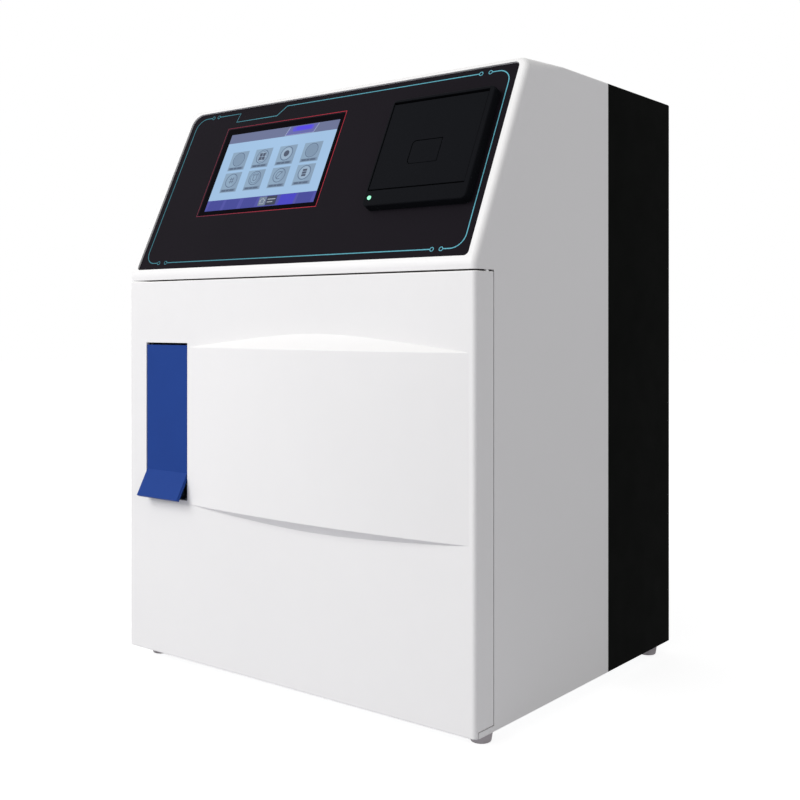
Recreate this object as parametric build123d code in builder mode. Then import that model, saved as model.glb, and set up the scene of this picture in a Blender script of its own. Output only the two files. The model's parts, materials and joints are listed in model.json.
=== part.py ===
from build123d import *
import os
from math import atan2, cos, degrees, radians, sin, sqrt

# Bench-top electrolyte analyzer, in millimetres.
# +Z is up, the door faces -Y and +X is to the right of someone facing the door.
# The origin is on the bench, under the middle of the whole machine.

os.makedirs("parts", exist_ok=True)

# Case
case_width = 314.0
case_depth = 260.0
white_depth = 162.0
crease_height = 277.5
slope_rise = 129.5
slope_run = 60.6
wall = 3.0
slope_wall = 5.0
front_edge_radius = 4.0
crease_radius = 10.0
top_corner_radius = 9.0
top_corner_taper = 40.0
top_side_radius = 1.5
door_edge_radius = 3.0
rear_edge_radius = 1.5

# Base and feet
plate_thickness = 1.5
plate_clearance = 0.5
foot_height = 8.5
foot_top_radius = 7.6
foot_bottom_radius = 6.2
foot_side_inset = 11.0
foot_front_inset = 21.6
foot_rear_inset = 14.5
foot_screw_radius = 2.0

# Front door
sill_height = 3.4
sill_depth = 32.0
sill_gap = 0.7
door_top_drop = 5.9
seam_gap = 1.0
shelf_thickness = 3.0
door_depth = 18.4
door_lip_depth = 2.5
side_seam = 0.8
door_rim_radius = 0.8
hinge_inset = 3.0
hinge_pin_radius = 1.5
hinge_pin_engagement = 9.0
hinge_boss_height = 11.0
hinge_relief = 0.4
running_clearance = 0.06

# Convex field on the door
bulge_side_margin = 5.0
bulge_slot_gap = 2.1
bulge_bottom = 111.5
bulge_top = 224.0
bulge_proud = 7.5
bulge_top_rise = 10.5
bulge_bottom_drop = 6.5
bulge_top_blend_angle = 22.0
bulge_bottom_blend_angle = 38.0
bulge_root = 0.15
bulge_rim_radius = 1.0

# Slot and sample lever
slot_side_margin = 19.7
slot_width = 45.2
slot_bottom = 113.9
slot_top = 226.8
lever_side_gap = 0.7
lever_top_gap = 1.7
lever_recess = 0.3
lever_thickness = 2.5
lever_bend_height = 133.5
tab_length = 20.8
tab_angle = 28.0
lever_pivot_depth = 6.0
lever_pivot_drop = 11.0
lever_pin_radius = 1.5
lever_knuckle_radius = 3.2
lever_knuckle_width = 6.0
lever_lug_width = 3.3
lever_lug_height = 12.0

# Magnetic door catch
magnet_width = 20.0
magnet_height = 10.0
magnet_depth = 9.0
strike_height = 8.0
strike_lug_depth = 4.0
strike_thickness = 1.0
catch_gap = 0.4
catch_side_margin = 17.0

# Control face on the slope
pocket_low = 3.4
pocket_high_margin = 2.8
pocket_side_margin = 6.8
pocket_left_radius = 9.5
pocket_right_radius = 4.0
pocket_bottom_radius = 3.0
pocket_depth = 3.2
fascia_thickness = 2.0
fascia_clearance = 0.3

# Touch screen
screen_low = 47.0
screen_high = 121.6
screen_side_margin = 45.8
screen_width = 117.2
screen_radius = 1.5
glass_thickness = 1.9
glass_clearance = 0.2
screen_ledge = 2.0
display_clearance = 0.5
display_thickness = 9.0

# Panel printer
printer_low = 39.5
printer_high = 121.0
printer_side_margin = 9.2
printer_width = 81.5
printer_proud = 6.2
printer_corner_radius = 4.0
printer_taper = 4.0
printer_edge_radius = 1.0
lid_strip_left = 1.8
lid_strip_right = 4.1
lid_strip_bottom = 11.3
lid_strip_top = 2.6
lid_gap = 0.4
lid_recess = 0.4
lid_thickness = 2.0
lid_skirt_depth = 5.4
lid_skirt_wall = 1.5
lid_bottom_gap = 1.2
lid_paper_gap = 1.6
lid_pin_radius = 0.9
lid_pin_bite = 1.0
lid_knuckle_radius = 1.75
lid_pin_rise = 1.6
button_left_inset = 27.4
button_low_inset = 29.5
button_width = 23.2
button_height = 16.9
button_gap = 0.35
button_thickness = 3.5
button_flange = 1.5
button_flange_thickness = 1.6
button_corner_radius = 2.8
button_edge_radius = 0.6
led_side_inset = 5.2
led_low_inset = 6.2
led_radius = 1.5
led_dome = 0.6

# Printer works
printer_body_depth = 46.8
printer_body_wall = 3.5
printer_body_clearance = 0.4
head_floor_depth = 12.0
head_height = 5.6
head_length = 11.0
platen_radius = 4.5
platen_top_offset = 6.1
platen_end_gap = 3.5
platen_axle_radius = 1.5
paper_gap = 0.5
roll_radius = 19.5
roll_core_radius = 6.0
roll_width = 57.0
roll_gap = 1.2
roll_boss_clearance = 0.3

# Chassis plate
chassis_setback = 92.0
chassis_thickness = 2.0
chassis_side_gap = 2.0
stud_length = 12.0
stud_radius = 3.0

# Measuring row
electrode_width = 18.0
electrode_pitch = 18.2
electrode_depth = 26.0
electrode_height = 32.0
electrode_cap_radius = 6.5
electrode_cap_height = 6.0
electrode_pin_radius = 1.5
electrode_pin_height = 5.0
row_left = -51.5
row_floor = 146.0
holder_floor_thickness = 6.0
holder_back_thickness = 8.0
holder_end_width = 11.0
holder_height = 44.0
holder_front_lip = 4.0
clamp_radius = 7.0
clamp_thickness = 5.0
clamp_reach = 32.0
clamp_gap = 0.4
clamp_pin_radius = 2.5
clamp_drop = 12.0

# Sampler
probe_pivot_setback = 48.0
probe_pivot_height = 205.0
probe_hub_radius = 7.0
probe_hub_width = 15.0
probe_axle_radius = 3.0
probe_reach = 20.0
probe_block_radius = 5.0
probe_arm_thickness = 10.0
needle_radius = 1.0
needle_length = 92.0
needle_above = 4.0
cheek_thickness = 4.0
cheek_gap = 1.6
cheek_height = 20.0
bracket_foot = 4.0
cup_gap = 6.0
cup_radius = 8.0
cup_bore_radius = 5.8
cup_height = 22.0
cup_depth = 17.0
cup_arm_width = 10.0
cup_arm_height = 6.0

# Tubing
tube_radius = 2.0
tube_bore_radius = 1.1
tube_bend_radius = 10.0

# Peristaltic pump
pump_side_margin = 42.0
pump_height = 200.0
pump_body_half = 33.0
pump_body_depth = 24.0
pump_floor = 4.0
pump_tube_pitch = 24.0
track_clearance = 0.2
rotor_plate_radius = 20.0
rotor_plate_thickness = 2.0
rotor_setback = 2.0
rotor_hub_radius = 6.0
roller_count = 3
roller_radius = 6.0
roller_tube_gap = 0.3
roller_pin_radius = 1.5
roller_end_gap = 0.3
pump_shaft_radius = 3.0
pump_shaft_length = 18.0
pump_motor_radius = 18.0
pump_motor_length = 40.0

# Pinch valve
valve_height = 140.0
valve_radius = 11.0
valve_length = 30.0
valve_nose_radius = 7.0
valve_nose_clearance = 0.3
valve_nose_proud = 4.0
valve_rod_radius = 2.5
valve_rod_length = 24.0
valve_tube_gap = 0.3
valve_travel = 2.0
valve_window = 5.2
valve_post_width = 2.5
valve_bar_depth = 2.5
valve_jaw_height = 6.0

# Reagent pack
pack_left = -25.0
pack_side_gap = 4.0
pack_front_setback = 26.0
pack_rear_gap = 4.0
pack_height = 102.0
pack_radius = 4.0
manifold_width = 26.0
manifold_depth = 18.0
manifold_height = 9.0

# Electronics
board_width = 200.0
board_height = 150.0
board_thickness = 1.6
board_low = 70.0
board_left = -130.0
chip_height = 3.0
supply_width = 110.0
supply_depth = 80.0
supply_height = 40.0
supply_side_gap = 14.0
supply_rear_gap = 30.0

# Rear panel
rear_ledge = 8.0
ledge_thickness = 3.0
rear_panel_thickness = 2.0
panel_clearance = 0.4
panel_screw_radius = 1.5
panel_screw_head_radius = 3.0
panel_screw_head_height = 1.8
panel_screw_length = 8.0
panel_screw_inset = 5.0
fan_side_margin = 77.0
fan_height = 300.0
fan_size = 60.0
fan_depth = 15.0
fan_bore_radius = 28.5
fan_rotor_radius = 27.5
fan_hub_radius = 12.5
fan_hub_gap = 1.0
fan_axle_radius = 2.0
fan_axle_length = 8.0
fan_blades = 7
fan_blade_angle = 40.0
fan_blade_thickness = 1.4
fan_strut_depth = 2.5
fan_strut_width = 4.0
grille_hole_radius = 2.3
grille_pitch = 7.0
vent_side_margin = 87.0
vent_height = 300.0
vent_rows = 9
vent_pitch = 8.0
vent_length = 90.0
vent_width = 3.0
inlet_side_margin = 52.0
inlet_height = 45.0
inlet_width = 27.5
inlet_body_height = 20.0
inlet_depth = 24.0
inlet_flange_width = 50.0
inlet_flange_height = 24.0
inlet_proud = 4.0
inlet_socket_depth = 16.0
inlet_wall = 2.0
inlet_pin_length = 11.0
switch_height = 90.0
switch_width = 13.0
switch_body_height = 19.0
switch_depth = 18.0
switch_flange = 1.5
switch_proud = 1.5
rocker_gap = 0.4
rocker_tilt = 10.0
rocker_pivot_depth = 1.5
rocker_face = 2.2
rocker_face_rise = 1.2
rocker_face_half = 6.5
rocker_tail = 3.0
rocker_tail_half = 5.0
rocker_pin_radius = 1.2
rocker_pin_length = 0.8
port_side_margin = 97.0
port_height = 60.0
port_width = 31.0
port_body_height = 12.5
port_proud = 2.0
port_depth = 10.0
port_rim = 1.0
port_recess = 1.6
port_recess_depth = 6.0

# Positions shared by the pieces
tolerance = 0.01
half_width = case_width / 2
inner_half_width = half_width - wall
tab_reach = tab_length * sin(radians(tab_angle)) - lever_recess
front_y = -(case_depth + inlet_proud - tab_reach) / 2
rear_y = front_y + case_depth
colour_seam_y = front_y + white_depth
brow_y = front_y + slope_run
base_z = foot_height
crease_z = base_z + crease_height
top_z = crease_z + slope_rise
sill_z = base_z + sill_height
door_low_z = sill_z + sill_gap
door_high_z = crease_z - door_top_drop
shelf_low_z = door_high_z + seam_gap
shelf_high_z = shelf_low_z + shelf_thickness
plate_top_z = base_z + plate_thickness
plate_gap = 0.3
chassis_y = front_y + chassis_setback
chassis_back_y = chassis_y + chassis_thickness
sill_front_y = front_y + door_lip_depth + side_seam
hinge_x = half_width - hinge_inset
hinge_y = front_y + door_depth - hinge_inset
fan_x = fan_side_margin - half_width
inlet_x = half_width - inlet_side_margin
switch_x = inlet_x
port_x = port_side_margin - half_width
vent_x = half_width - vent_side_margin
slope_angle = atan2(slope_run, slope_rise)
slope_length = sqrt(slope_run**2 + slope_rise**2)
slope_face = Plane(
    origin=(0, front_y, crease_z),
    x_dir=(1, 0, 0),
    z_dir=(0, -cos(slope_angle), sin(slope_angle)),
)
slope_out = Axis(slope_face.origin, slope_face.z_dir)


def slope_point(rise, out):
    """Y and Z of a point on the slope, at a rise up its face and a distance out of it."""
    y = front_y + rise * sin(slope_angle) - out * cos(slope_angle)
    z = crease_z + rise * cos(slope_angle) + out * sin(slope_angle)
    return y, z


def facing_front(y):
    """Sketch plane across the machine at a depth, with local X and Z, facing the door."""
    return Plane.XZ.offset(-y)


def rectangle_between(low, high):
    """Rectangle in the open sketch, given by two opposite corners."""
    with Locations(((low[0] + high[0]) / 2, (low[1] + high[1]) / 2)):
        Rectangle(high[0] - low[0], high[1] - low[1])


def box_between(low, high, mode=Mode.ADD):
    """Box in the open part, given by two opposite corners."""
    middle = (Vector(*low) + Vector(*high)) * 0.5
    size = [b - a for a, b in zip(low, high)]
    with Locations(middle):
        Box(*size, mode=mode)


def cylinder_along_x(y, z, x_low, x_high, radius, mode=Mode.ADD):
    """Cylinder in the open part, on an axis along X."""
    with Locations(((x_low + x_high) / 2, y, z)):
        Cylinder(radius, x_high - x_low, rotation=(0, 90, 0), mode=mode)


def cylinder_along_y(x, z, y_low, y_high, radius, mode=Mode.ADD):
    """Cylinder in the open part, on an axis along Y."""
    with Locations((x, (y_low + y_high) / 2, z)):
        Cylinder(radius, y_high - y_low, rotation=(90, 0, 0), mode=mode)


def cylinder_along_z(x, y, z_low, z_high, radius, mode=Mode.ADD):
    """Cylinder in the open part, on an upright axis."""
    with Locations((x, y, (z_low + z_high) / 2)):
        Cylinder(radius, z_high - z_low, mode=mode)


# Front housing: white shell with the sill, both sides, the shelf, the slope and the top
pocket_half_width = half_width - pocket_side_margin
pocket_high = slope_length - pocket_high_margin


def control_outline(margin):
    """Outline of the control face in the open sketch, grown by a margin."""
    rectangle_between(
        (-pocket_half_width - margin, pocket_low - margin),
        (pocket_half_width + margin, pocket_high + margin),
    )


def round_control_corners(sketch, clearance):
    """Round the corners of the control face's outline in a sketch, less a clearance."""
    fillet(sketch.vertices().group_by(Axis.Y)[0], pocket_bottom_radius - clearance)
    top_left = sketch.vertices().group_by(Axis.Y)[-1].sort_by(Axis.X)[0]
    fillet(top_left, pocket_left_radius - clearance)
    top_right = sketch.vertices().group_by(Axis.Y)[-1].sort_by(Axis.X)[-1]
    fillet(top_right, pocket_right_radius - clearance)


def is_front_rim_edge(edge):
    """Whether an edge goes up the front and the slope at either side, or over the slope."""
    middle = edge.center()
    on_side = abs(abs(middle.X) - half_width) < tolerance
    before_brow = middle.Y < brow_y - tolerance
    over_slope = middle.Z > top_z - top_corner_radius and middle.Y < brow_y + tolerance
    return over_slope or (on_side and before_brow and middle.Z > base_z + tolerance)


def cut_top_corner(side):
    """Round one top side edge of the open part, full at the slope and small from the taper on."""
    growth = (top_corner_radius - top_side_radius) / top_corner_taper
    front_reach = 2 * top_corner_radius
    stations = (
        (brow_y - front_reach, top_corner_radius + growth * front_reach),
        (brow_y + top_corner_taper, top_side_radius),
        (colour_seam_y + top_side_radius, top_side_radius),
    )
    sections = []
    for y, radius in stations:
        place = (side * half_width, y, top_z)
        corner = Plane(origin=place, x_dir=(-side, 0, 0), z_dir=(0, side, 0))
        with BuildSketch(corner) as outside_arc:
            with BuildLine():
                Polyline((radius, 0), (radius, 1), (-1, 1), (-1, -radius), (0, -radius))
                RadiusArc((0, -radius), (radius, 0), radius)
            make_face()
        sections.append(outside_arc.sketch.face())
    loft(sections=sections, ruled=True, mode=Mode.SUBTRACT)


screen_left = -pocket_half_width + screen_side_margin
screen_right = screen_left + screen_width
screen_hole_low = (screen_left + screen_ledge, screen_low + screen_ledge)
screen_hole_high = (screen_right - screen_ledge, screen_high - screen_ledge)
printer_right = pocket_half_width - printer_side_margin
printer_left = printer_right - printer_width
body_left = printer_left + lid_strip_left + lid_gap + lid_skirt_wall
body_right = printer_right - lid_strip_right + lid_skirt_wall
body_low = printer_low + printer_body_wall
body_high = printer_high - lid_strip_top
printer_hole_low = (body_left - printer_body_clearance, body_low - printer_body_clearance)
printer_hole_high = (body_right + printer_body_clearance, body_high + printer_body_clearance)
relief_radius = sqrt(2) * hinge_inset + hinge_relief
brow_inner = (top_z - wall - slope_point(0, -slope_wall)[1]) / cos(slope_angle)
shelf_inner = (shelf_high_z - slope_point(0, -slope_wall)[1]) / cos(slope_angle)

with BuildPart() as front_housing:
    with BuildSketch(Plane.YZ.offset(-half_width)):
        with BuildLine():
            FilletPolyline(
                (front_y, base_z),
                (front_y, crease_z),
                (brow_y, top_z),
                (colour_seam_y, top_z),
                radius=[crease_radius, 0],
            )
            Polyline((colour_seam_y, top_z), (colour_seam_y, base_z), (front_y, base_z))
        make_face()
    extrude(amount=case_width)
    cut_top_corner(-1)
    cut_top_corner(1)
    fillet(edges().filter_by(is_front_rim_edge), front_edge_radius)
    # Room behind the slope and behind the chassis plate
    with BuildSketch(Plane.YZ.offset(-inner_half_width)):
        with BuildLine():
            Polyline(
                slope_point(shelf_inner, -slope_wall),
                slope_point(brow_inner, -slope_wall),
                (colour_seam_y, top_z - wall),
                (colour_seam_y, base_z),
                (chassis_back_y, base_z),
                (chassis_back_y, shelf_high_z),
                close=True,
            )
        make_face()
    extrude(amount=2 * inner_half_width, mode=Mode.SUBTRACT)
    # Bay behind the door
    box_between(
        (-inner_half_width, front_y + sill_depth, base_z),
        (inner_half_width, chassis_back_y, shelf_low_z),
        mode=Mode.SUBTRACT,
    )
    box_between(
        (-inner_half_width, front_y + door_depth + side_seam, sill_z),
        (inner_half_width, front_y + sill_depth, shelf_low_z),
        mode=Mode.SUBTRACT,
    )
    # Room for the door and its lip, and for its hinge edge as it turns
    for back_y, low_z in ((front_y + door_depth + side_seam, sill_z), (sill_front_y, base_z)):
        box_between(
            (-case_width, front_y - door_depth, low_z),
            (case_width, back_y, shelf_low_z),
            mode=Mode.SUBTRACT,
        )
    cylinder_along_z(hinge_x, hinge_y, sill_z, shelf_low_z, relief_radius, mode=Mode.SUBTRACT)
    # Rebate under the sill for the base plate
    box_between(
        (-inner_half_width, sill_front_y + wall, base_z),
        (inner_half_width, front_y + sill_depth, plate_top_z + plate_gap),
        mode=Mode.SUBTRACT,
    )
    # Holes for the two door hinge pins
    cylinder_along_z(hinge_x, hinge_y, base_z, sill_z, hinge_pin_radius, mode=Mode.SUBTRACT)
    cylinder_along_z(
        hinge_x, hinge_y, shelf_low_z, shelf_high_z, hinge_pin_radius, mode=Mode.SUBTRACT
    )
    # Pocket for the control panel, and the screen and printer holes in its floor
    with BuildSketch(slope_face) as pocket:
        control_outline(0)
        round_control_corners(pocket, 0)
    extrude(amount=-pocket_depth, mode=Mode.SUBTRACT)
    with BuildSketch(slope_face.offset(-pocket_depth)):
        rectangle_between(screen_hole_low, screen_hole_high)
        rectangle_between(printer_hole_low, printer_hole_high)
    extrude(amount=-slope_wall, mode=Mode.SUBTRACT)
front_housing.part.label = "front_housing"
export_step(front_housing.part, "parts/front_housing.step")

# Rear housing: black sleeve with a ledge for the rear panel
ledge_back_y = rear_y - rear_panel_thickness
ledge_front_y = ledge_back_y - ledge_thickness

with BuildPart() as rear_housing:
    box_between((-half_width, colour_seam_y, base_z), (half_width, rear_y, top_z))
    top_side_edges = edges().filter_by(Axis.Y).group_by(Axis.Z)[-1]
    fillet(top_side_edges, rear_edge_radius)
    box_between(
        (-inner_half_width, colour_seam_y, base_z),
        (inner_half_width, rear_y, top_z - wall),
        mode=Mode.SUBTRACT,
    )
    box_between(
        (-inner_half_width, ledge_front_y, plate_top_z + plate_gap),
        (inner_half_width, ledge_back_y, top_z - wall),
    )
    box_between(
        (-inner_half_width + rear_ledge, ledge_front_y, plate_top_z + plate_gap + rear_ledge),
        (inner_half_width - rear_ledge, ledge_back_y, top_z - wall - rear_ledge),
        mode=Mode.SUBTRACT,
    )
    screw_x = inner_half_width - panel_screw_inset
    screw_low_z = plate_top_z + plate_gap + panel_screw_inset
    screw_high_z = top_z - wall - panel_screw_inset
    screw_middle_z = (screw_low_z + screw_high_z) / 2
    screw_heights = (screw_low_z, screw_middle_z, screw_high_z)
    screw_places = [(x, z) for x in (-screw_x, screw_x) for z in screw_heights]
    for x, z in screw_places:
        cylinder_along_y(x, z, ledge_front_y, ledge_back_y, panel_screw_radius, mode=Mode.SUBTRACT)
rear_housing.part.label = "rear_housing"
export_step(rear_housing.part, "parts/rear_housing.step")

# Base plate: steel tray bottom that carries the feet
plate_half_width = inner_half_width - plate_clearance
foot_x = half_width - foot_side_inset
foot_front_y = front_y + foot_front_inset
foot_rear_y = rear_y - foot_rear_inset
foot_places = {
    "front_left": (-foot_x, foot_front_y),
    "front_right": (foot_x, foot_front_y),
    "rear_left": (-foot_x, foot_rear_y),
    "rear_right": (foot_x, foot_rear_y),
}

with BuildPart() as base_plate:
    box_between(
        (-plate_half_width, sill_front_y + wall + plate_clearance, base_z),
        (plate_half_width, ledge_back_y - plate_clearance, plate_top_z),
    )
    for x, y in foot_places.values():
        cylinder_along_z(x, y, base_z, plate_top_z, foot_screw_radius, mode=Mode.SUBTRACT)
base_plate.part.label = "base_plate"
export_step(base_plate.part, "parts/base_plate.step")

# Feet: tapered rubber pads with a stem through the base plate
for corner, (x, y) in foot_places.items():
    with BuildPart() as foot:
        with BuildSketch(Plane.XY.offset(0)):
            with Locations((x, y)):
                Circle(foot_bottom_radius)
        with BuildSketch(Plane.XY.offset(foot_height)):
            with Locations((x, y)):
                Circle(foot_top_radius)
        loft()
        fillet(foot.edges().group_by(Axis.Z)[0], foot_bottom_radius / 6)
        cylinder_along_z(x, y, base_z, plate_top_z, foot_screw_radius)
    foot.part.label = f"foot_{corner}"
    export_step(foot.part, f"parts/foot_{corner}.step")

# Front door: shallow tray with a lip over the sill, a convex field, hinge bosses and lugs
slot_left = -half_width + slot_side_margin
slot_right = slot_left + slot_width
bulge_left = slot_right + bulge_slot_gap
bulge_right = half_width - bulge_side_margin
bulge_half_chord = (bulge_right - bulge_left) / 2
bulge_middle = (bulge_right + bulge_left) / 2
bulge_radius = (bulge_half_chord**2 + bulge_proud**2) / (2 * bulge_proud)
bulge_axis_y = front_y - bulge_proud + bulge_radius
slot_low_z = base_z + slot_bottom
slot_high_z = base_z + slot_top
lever_pivot_y = front_y + lever_pivot_depth
lever_pivot_z = slot_high_z - lever_pivot_drop
lug_inner_left = slot_left - side_seam
lug_inner_right = slot_right + side_seam
catch_left = -half_width + catch_side_margin
strike_y = front_y + door_depth
catch_lug_y = strike_y - strike_thickness
strike_low_z = (door_low_z + wall, door_high_z - wall - strike_height)


def bulge_tool(inset, box_low_y, box_high_y):
    """Solid under the convex field, set in by a wall, and cut to a slice of depth."""
    rim_radius = bulge_radius - inset
    root_radius = rim_radius - bulge_proud - bulge_root
    inner_radius = root_radius - wall
    low_z = base_z + bulge_bottom + inset
    high_z = base_z + bulge_top - inset
    low_root = (root_radius, low_z - bulge_bottom_drop)
    high_root = (root_radius, high_z + bulge_top_rise)
    top_blend = radians(bulge_top_blend_angle)
    bottom_blend = radians(bulge_bottom_blend_angle)
    with BuildPart() as tool:
        section = Plane(origin=(bulge_middle, bulge_axis_y, 0), x_dir=(0, -1, 0), z_dir=(-1, 0, 0))
        with BuildSketch(section) as profile:
            with BuildLine():
                TangentArc(low_root, (rim_radius, low_z), tangent=(sin(bottom_blend), cos(bottom_blend)))
                Line((rim_radius, low_z), (rim_radius, high_z))
                TangentArc(high_root, (rim_radius, high_z), tangent=(sin(top_blend), -cos(top_blend)))
                Polyline(
                    high_root, (inner_radius, high_root[1]), (inner_radius, low_root[1]), low_root
                )
            make_face()
            fillet(profile.vertices().group_by(Axis.X)[-1], bulge_rim_radius)
        revolve(axis=Axis((bulge_middle, bulge_axis_y, 0), (0, 0, 1)))
        box_between(
            (bulge_left + inset, box_low_y, base_z),
            (bulge_right - inset, box_high_y, top_z),
            mode=Mode.INTERSECT,
        )
    return tool.part


bulge_outer = bulge_tool(0, front_y - 2 * bulge_proud, front_y + wall / 2)
bulge_inner = bulge_tool(wall, front_y - 2 * bulge_proud, front_y + wall)

with BuildPart() as front_door:
    with BuildSketch(Plane.XY.offset(base_z)):
        rectangle_between((-half_width, front_y), (half_width, front_y + door_depth))
    extrude(amount=door_high_z - base_z)
    fillet(edges().filter_by(Axis.Z).group_by(Axis.Y)[0], door_edge_radius)
    fillet(faces().sort_by(Axis.Y)[0].edges().filter_by(Axis.X), door_rim_radius)
    box_between(
        (-case_width, front_y + door_lip_depth, base_z - wall),
        (case_width, rear_y, door_low_z),
        mode=Mode.SUBTRACT,
    )
    with BuildSketch(Plane.XY.offset(door_low_z + wall)) as hollow:
        rectangle_between(
            (-inner_half_width, front_y + wall), (inner_half_width, front_y + door_depth)
        )
        fillet(hollow.vertices().group_by(Axis.Y)[0], door_edge_radius - wall / 2)
    extrude(amount=door_high_z - door_low_z - 2 * wall, mode=Mode.SUBTRACT)
    add(bulge_outer)
    add(bulge_inner, mode=Mode.SUBTRACT)
    # Lugs for the lever pin, and for the two catch strikes
    lug_half = lever_lug_height / 2
    for low_x in (lug_inner_left - lever_lug_width, lug_inner_right):
        box_between(
            (low_x, front_y + wall / 2, lever_pivot_z - lug_half),
            (low_x + lever_lug_width, lever_pivot_y + lug_half, lever_pivot_z + lug_half),
        )
    for low_z in strike_low_z:
        box_between(
            (catch_left, catch_lug_y - strike_lug_depth, low_z),
            (catch_left + magnet_width, catch_lug_y, low_z + strike_height),
        )
    # Bosses and bearings for the hinge pins
    bearing_radius = hinge_pin_radius + running_clearance
    cylinder_along_z(hinge_x, hinge_y, door_low_z, door_low_z + hinge_boss_height, hinge_inset)
    cylinder_along_z(hinge_x, hinge_y, door_high_z - hinge_boss_height, door_high_z, hinge_inset)
    for low_z in (door_low_z, door_high_z - hinge_pin_engagement - running_clearance):
        high_z = low_z + hinge_pin_engagement + running_clearance
        cylinder_along_z(hinge_x, hinge_y, low_z, high_z, bearing_radius, mode=Mode.SUBTRACT)
    # Slot for the lever, and the holes for its pin
    box_between(
        (slot_left, front_y - wall, slot_low_z),
        (slot_right, front_y + wall, slot_high_z),
        mode=Mode.SUBTRACT,
    )
    cylinder_along_x(
        lever_pivot_y,
        lever_pivot_z,
        lug_inner_left - lever_lug_width,
        lug_inner_right + lever_lug_width,
        lever_pin_radius,
        mode=Mode.SUBTRACT,
    )
front_door.part.label = "front_door"
export_step(front_door.part, "parts/front_door.step")

# Door hinge pins: one up from the sill, one down from the shelf
with BuildPart() as door_hinge_pins:
    pin_low_z = plate_top_z + plate_gap
    cylinder_along_z(hinge_x, hinge_y, pin_low_z, door_low_z + hinge_pin_engagement, hinge_pin_radius)
    cylinder_along_z(
        hinge_x, hinge_y, door_high_z - hinge_pin_engagement, shelf_high_z, hinge_pin_radius
    )
door_hinge_pins.part.label = "door_hinge_pins"
export_step(door_hinge_pins.part, "parts/door_hinge_pins.step")

# Catch magnets on the sill and under the shelf, and the steel strikes on the door
magnet_y = strike_y + catch_gap

with BuildPart() as door_magnets:
    for low_z in (sill_z, shelf_low_z - magnet_height):
        box_between(
            (catch_left, magnet_y, low_z),
            (catch_left + magnet_width, magnet_y + magnet_depth, low_z + magnet_height),
        )
    fillet(edges().filter_by(Axis.Y), 1.0)
door_magnets.part.label = "door_magnets"
export_step(door_magnets.part, "parts/door_magnets.step")

with BuildPart() as strike_plates:
    for low_z in strike_low_z:
        box_between(
            (catch_left, catch_lug_y, low_z),
            (catch_left + magnet_width, strike_y, low_z + strike_height),
        )
strike_plates.part.label = "strike_plates"
export_step(strike_plates.part, "parts/strike_plates.step")

# Sample lever: flat plate in the slot, flared finger tab, and knuckles behind its head
lever_left = slot_left + lever_side_gap
lever_right = slot_right - lever_side_gap
lever_face_y = front_y + lever_recess
lever_high_z = slot_high_z - lever_top_gap
bend_z = base_z + lever_bend_height
tab_sin = sin(radians(tab_angle))
tab_cos = cos(radians(tab_angle))
tab_tip = (lever_face_y - tab_length * tab_sin, bend_z - tab_length * tab_cos)
tab_back = (tab_tip[0] + lever_thickness * tab_cos, tab_tip[1] - lever_thickness * tab_sin)
bend_back_z = bend_z - lever_thickness * (1 - tab_cos) / tab_sin

with BuildPart() as sample_lever:
    with BuildSketch(Plane.YZ.offset(lever_left)):
        with BuildLine():
            Polyline(
                (lever_face_y, lever_high_z),
                (lever_face_y, bend_z),
                tab_tip,
                tab_back,
                (lever_face_y + lever_thickness, bend_back_z),
                (lever_face_y + lever_thickness, lever_high_z),
                close=True,
            )
        make_face()
    extrude(amount=lever_right - lever_left)
    for low_x in (lever_left, lever_right - lever_knuckle_width):
        high_x = low_x + lever_knuckle_width
        cylinder_along_x(lever_pivot_y, lever_pivot_z, low_x, high_x, lever_knuckle_radius)
        box_between(
            (low_x, lever_face_y + lever_thickness / 2, lever_pivot_z - lever_knuckle_radius),
            (high_x, lever_pivot_y, lever_pivot_z + lever_knuckle_radius),
        )
    cylinder_along_x(
        lever_pivot_y,
        lever_pivot_z,
        lever_left,
        lever_right,
        lever_pin_radius + running_clearance,
        mode=Mode.SUBTRACT,
    )
sample_lever.part.label = "sample_lever"
export_step(sample_lever.part, "parts/sample_lever.step")

with BuildPart() as lever_pin:
    cylinder_along_x(
        lever_pivot_y,
        lever_pivot_z,
        lug_inner_left - lever_lug_width,
        lug_inner_right + lever_lug_width,
        lever_pin_radius,
    )
lever_pin.part.label = "lever_pin"
export_step(lever_pin.part, "parts/lever_pin.step")

# Control panel: black overlay with a screen window and a printer hole
fascia_face = slope_face.offset(-pocket_depth)

with BuildPart() as fascia_panel:
    with BuildSketch(fascia_face) as panel_sketch:
        control_outline(-fascia_clearance)
        round_control_corners(panel_sketch, fascia_clearance)
    extrude(amount=fascia_thickness)
    with BuildSketch(fascia_face) as window:
        rectangle_between((screen_left, screen_low), (screen_right, screen_high))
        fillet(window.vertices(), screen_radius)
    extrude(amount=fascia_thickness, mode=Mode.SUBTRACT)
    with BuildSketch(fascia_face):
        rectangle_between(printer_hole_low, printer_hole_high)
    extrude(amount=fascia_thickness, mode=Mode.SUBTRACT)
fascia_panel.part.label = "fascia_panel"
export_step(fascia_panel.part, "parts/fascia_panel.step")

# Touch glass in the window, and the display module behind it
with BuildPart() as touch_glass:
    with BuildSketch(fascia_face) as glass:
        rectangle_between(
            (screen_left + glass_clearance, screen_low + glass_clearance),
            (screen_right - glass_clearance, screen_high - glass_clearance),
        )
        fillet(glass.vertices(), screen_radius - glass_clearance)
    extrude(amount=glass_thickness)
touch_glass.part.label = "touch_glass"
export_step(touch_glass.part, "parts/touch_glass.step")

with BuildPart() as display_module:
    with BuildSketch(fascia_face):
        rectangle_between(
            (screen_hole_low[0] + display_clearance, screen_hole_low[1] + display_clearance),
            (screen_hole_high[0] - display_clearance, screen_hole_high[1] - display_clearance),
        )
    extrude(amount=-display_thickness)
display_module.part.label = "display_module"
export_step(display_module.part, "parts/display_module.step")

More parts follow.
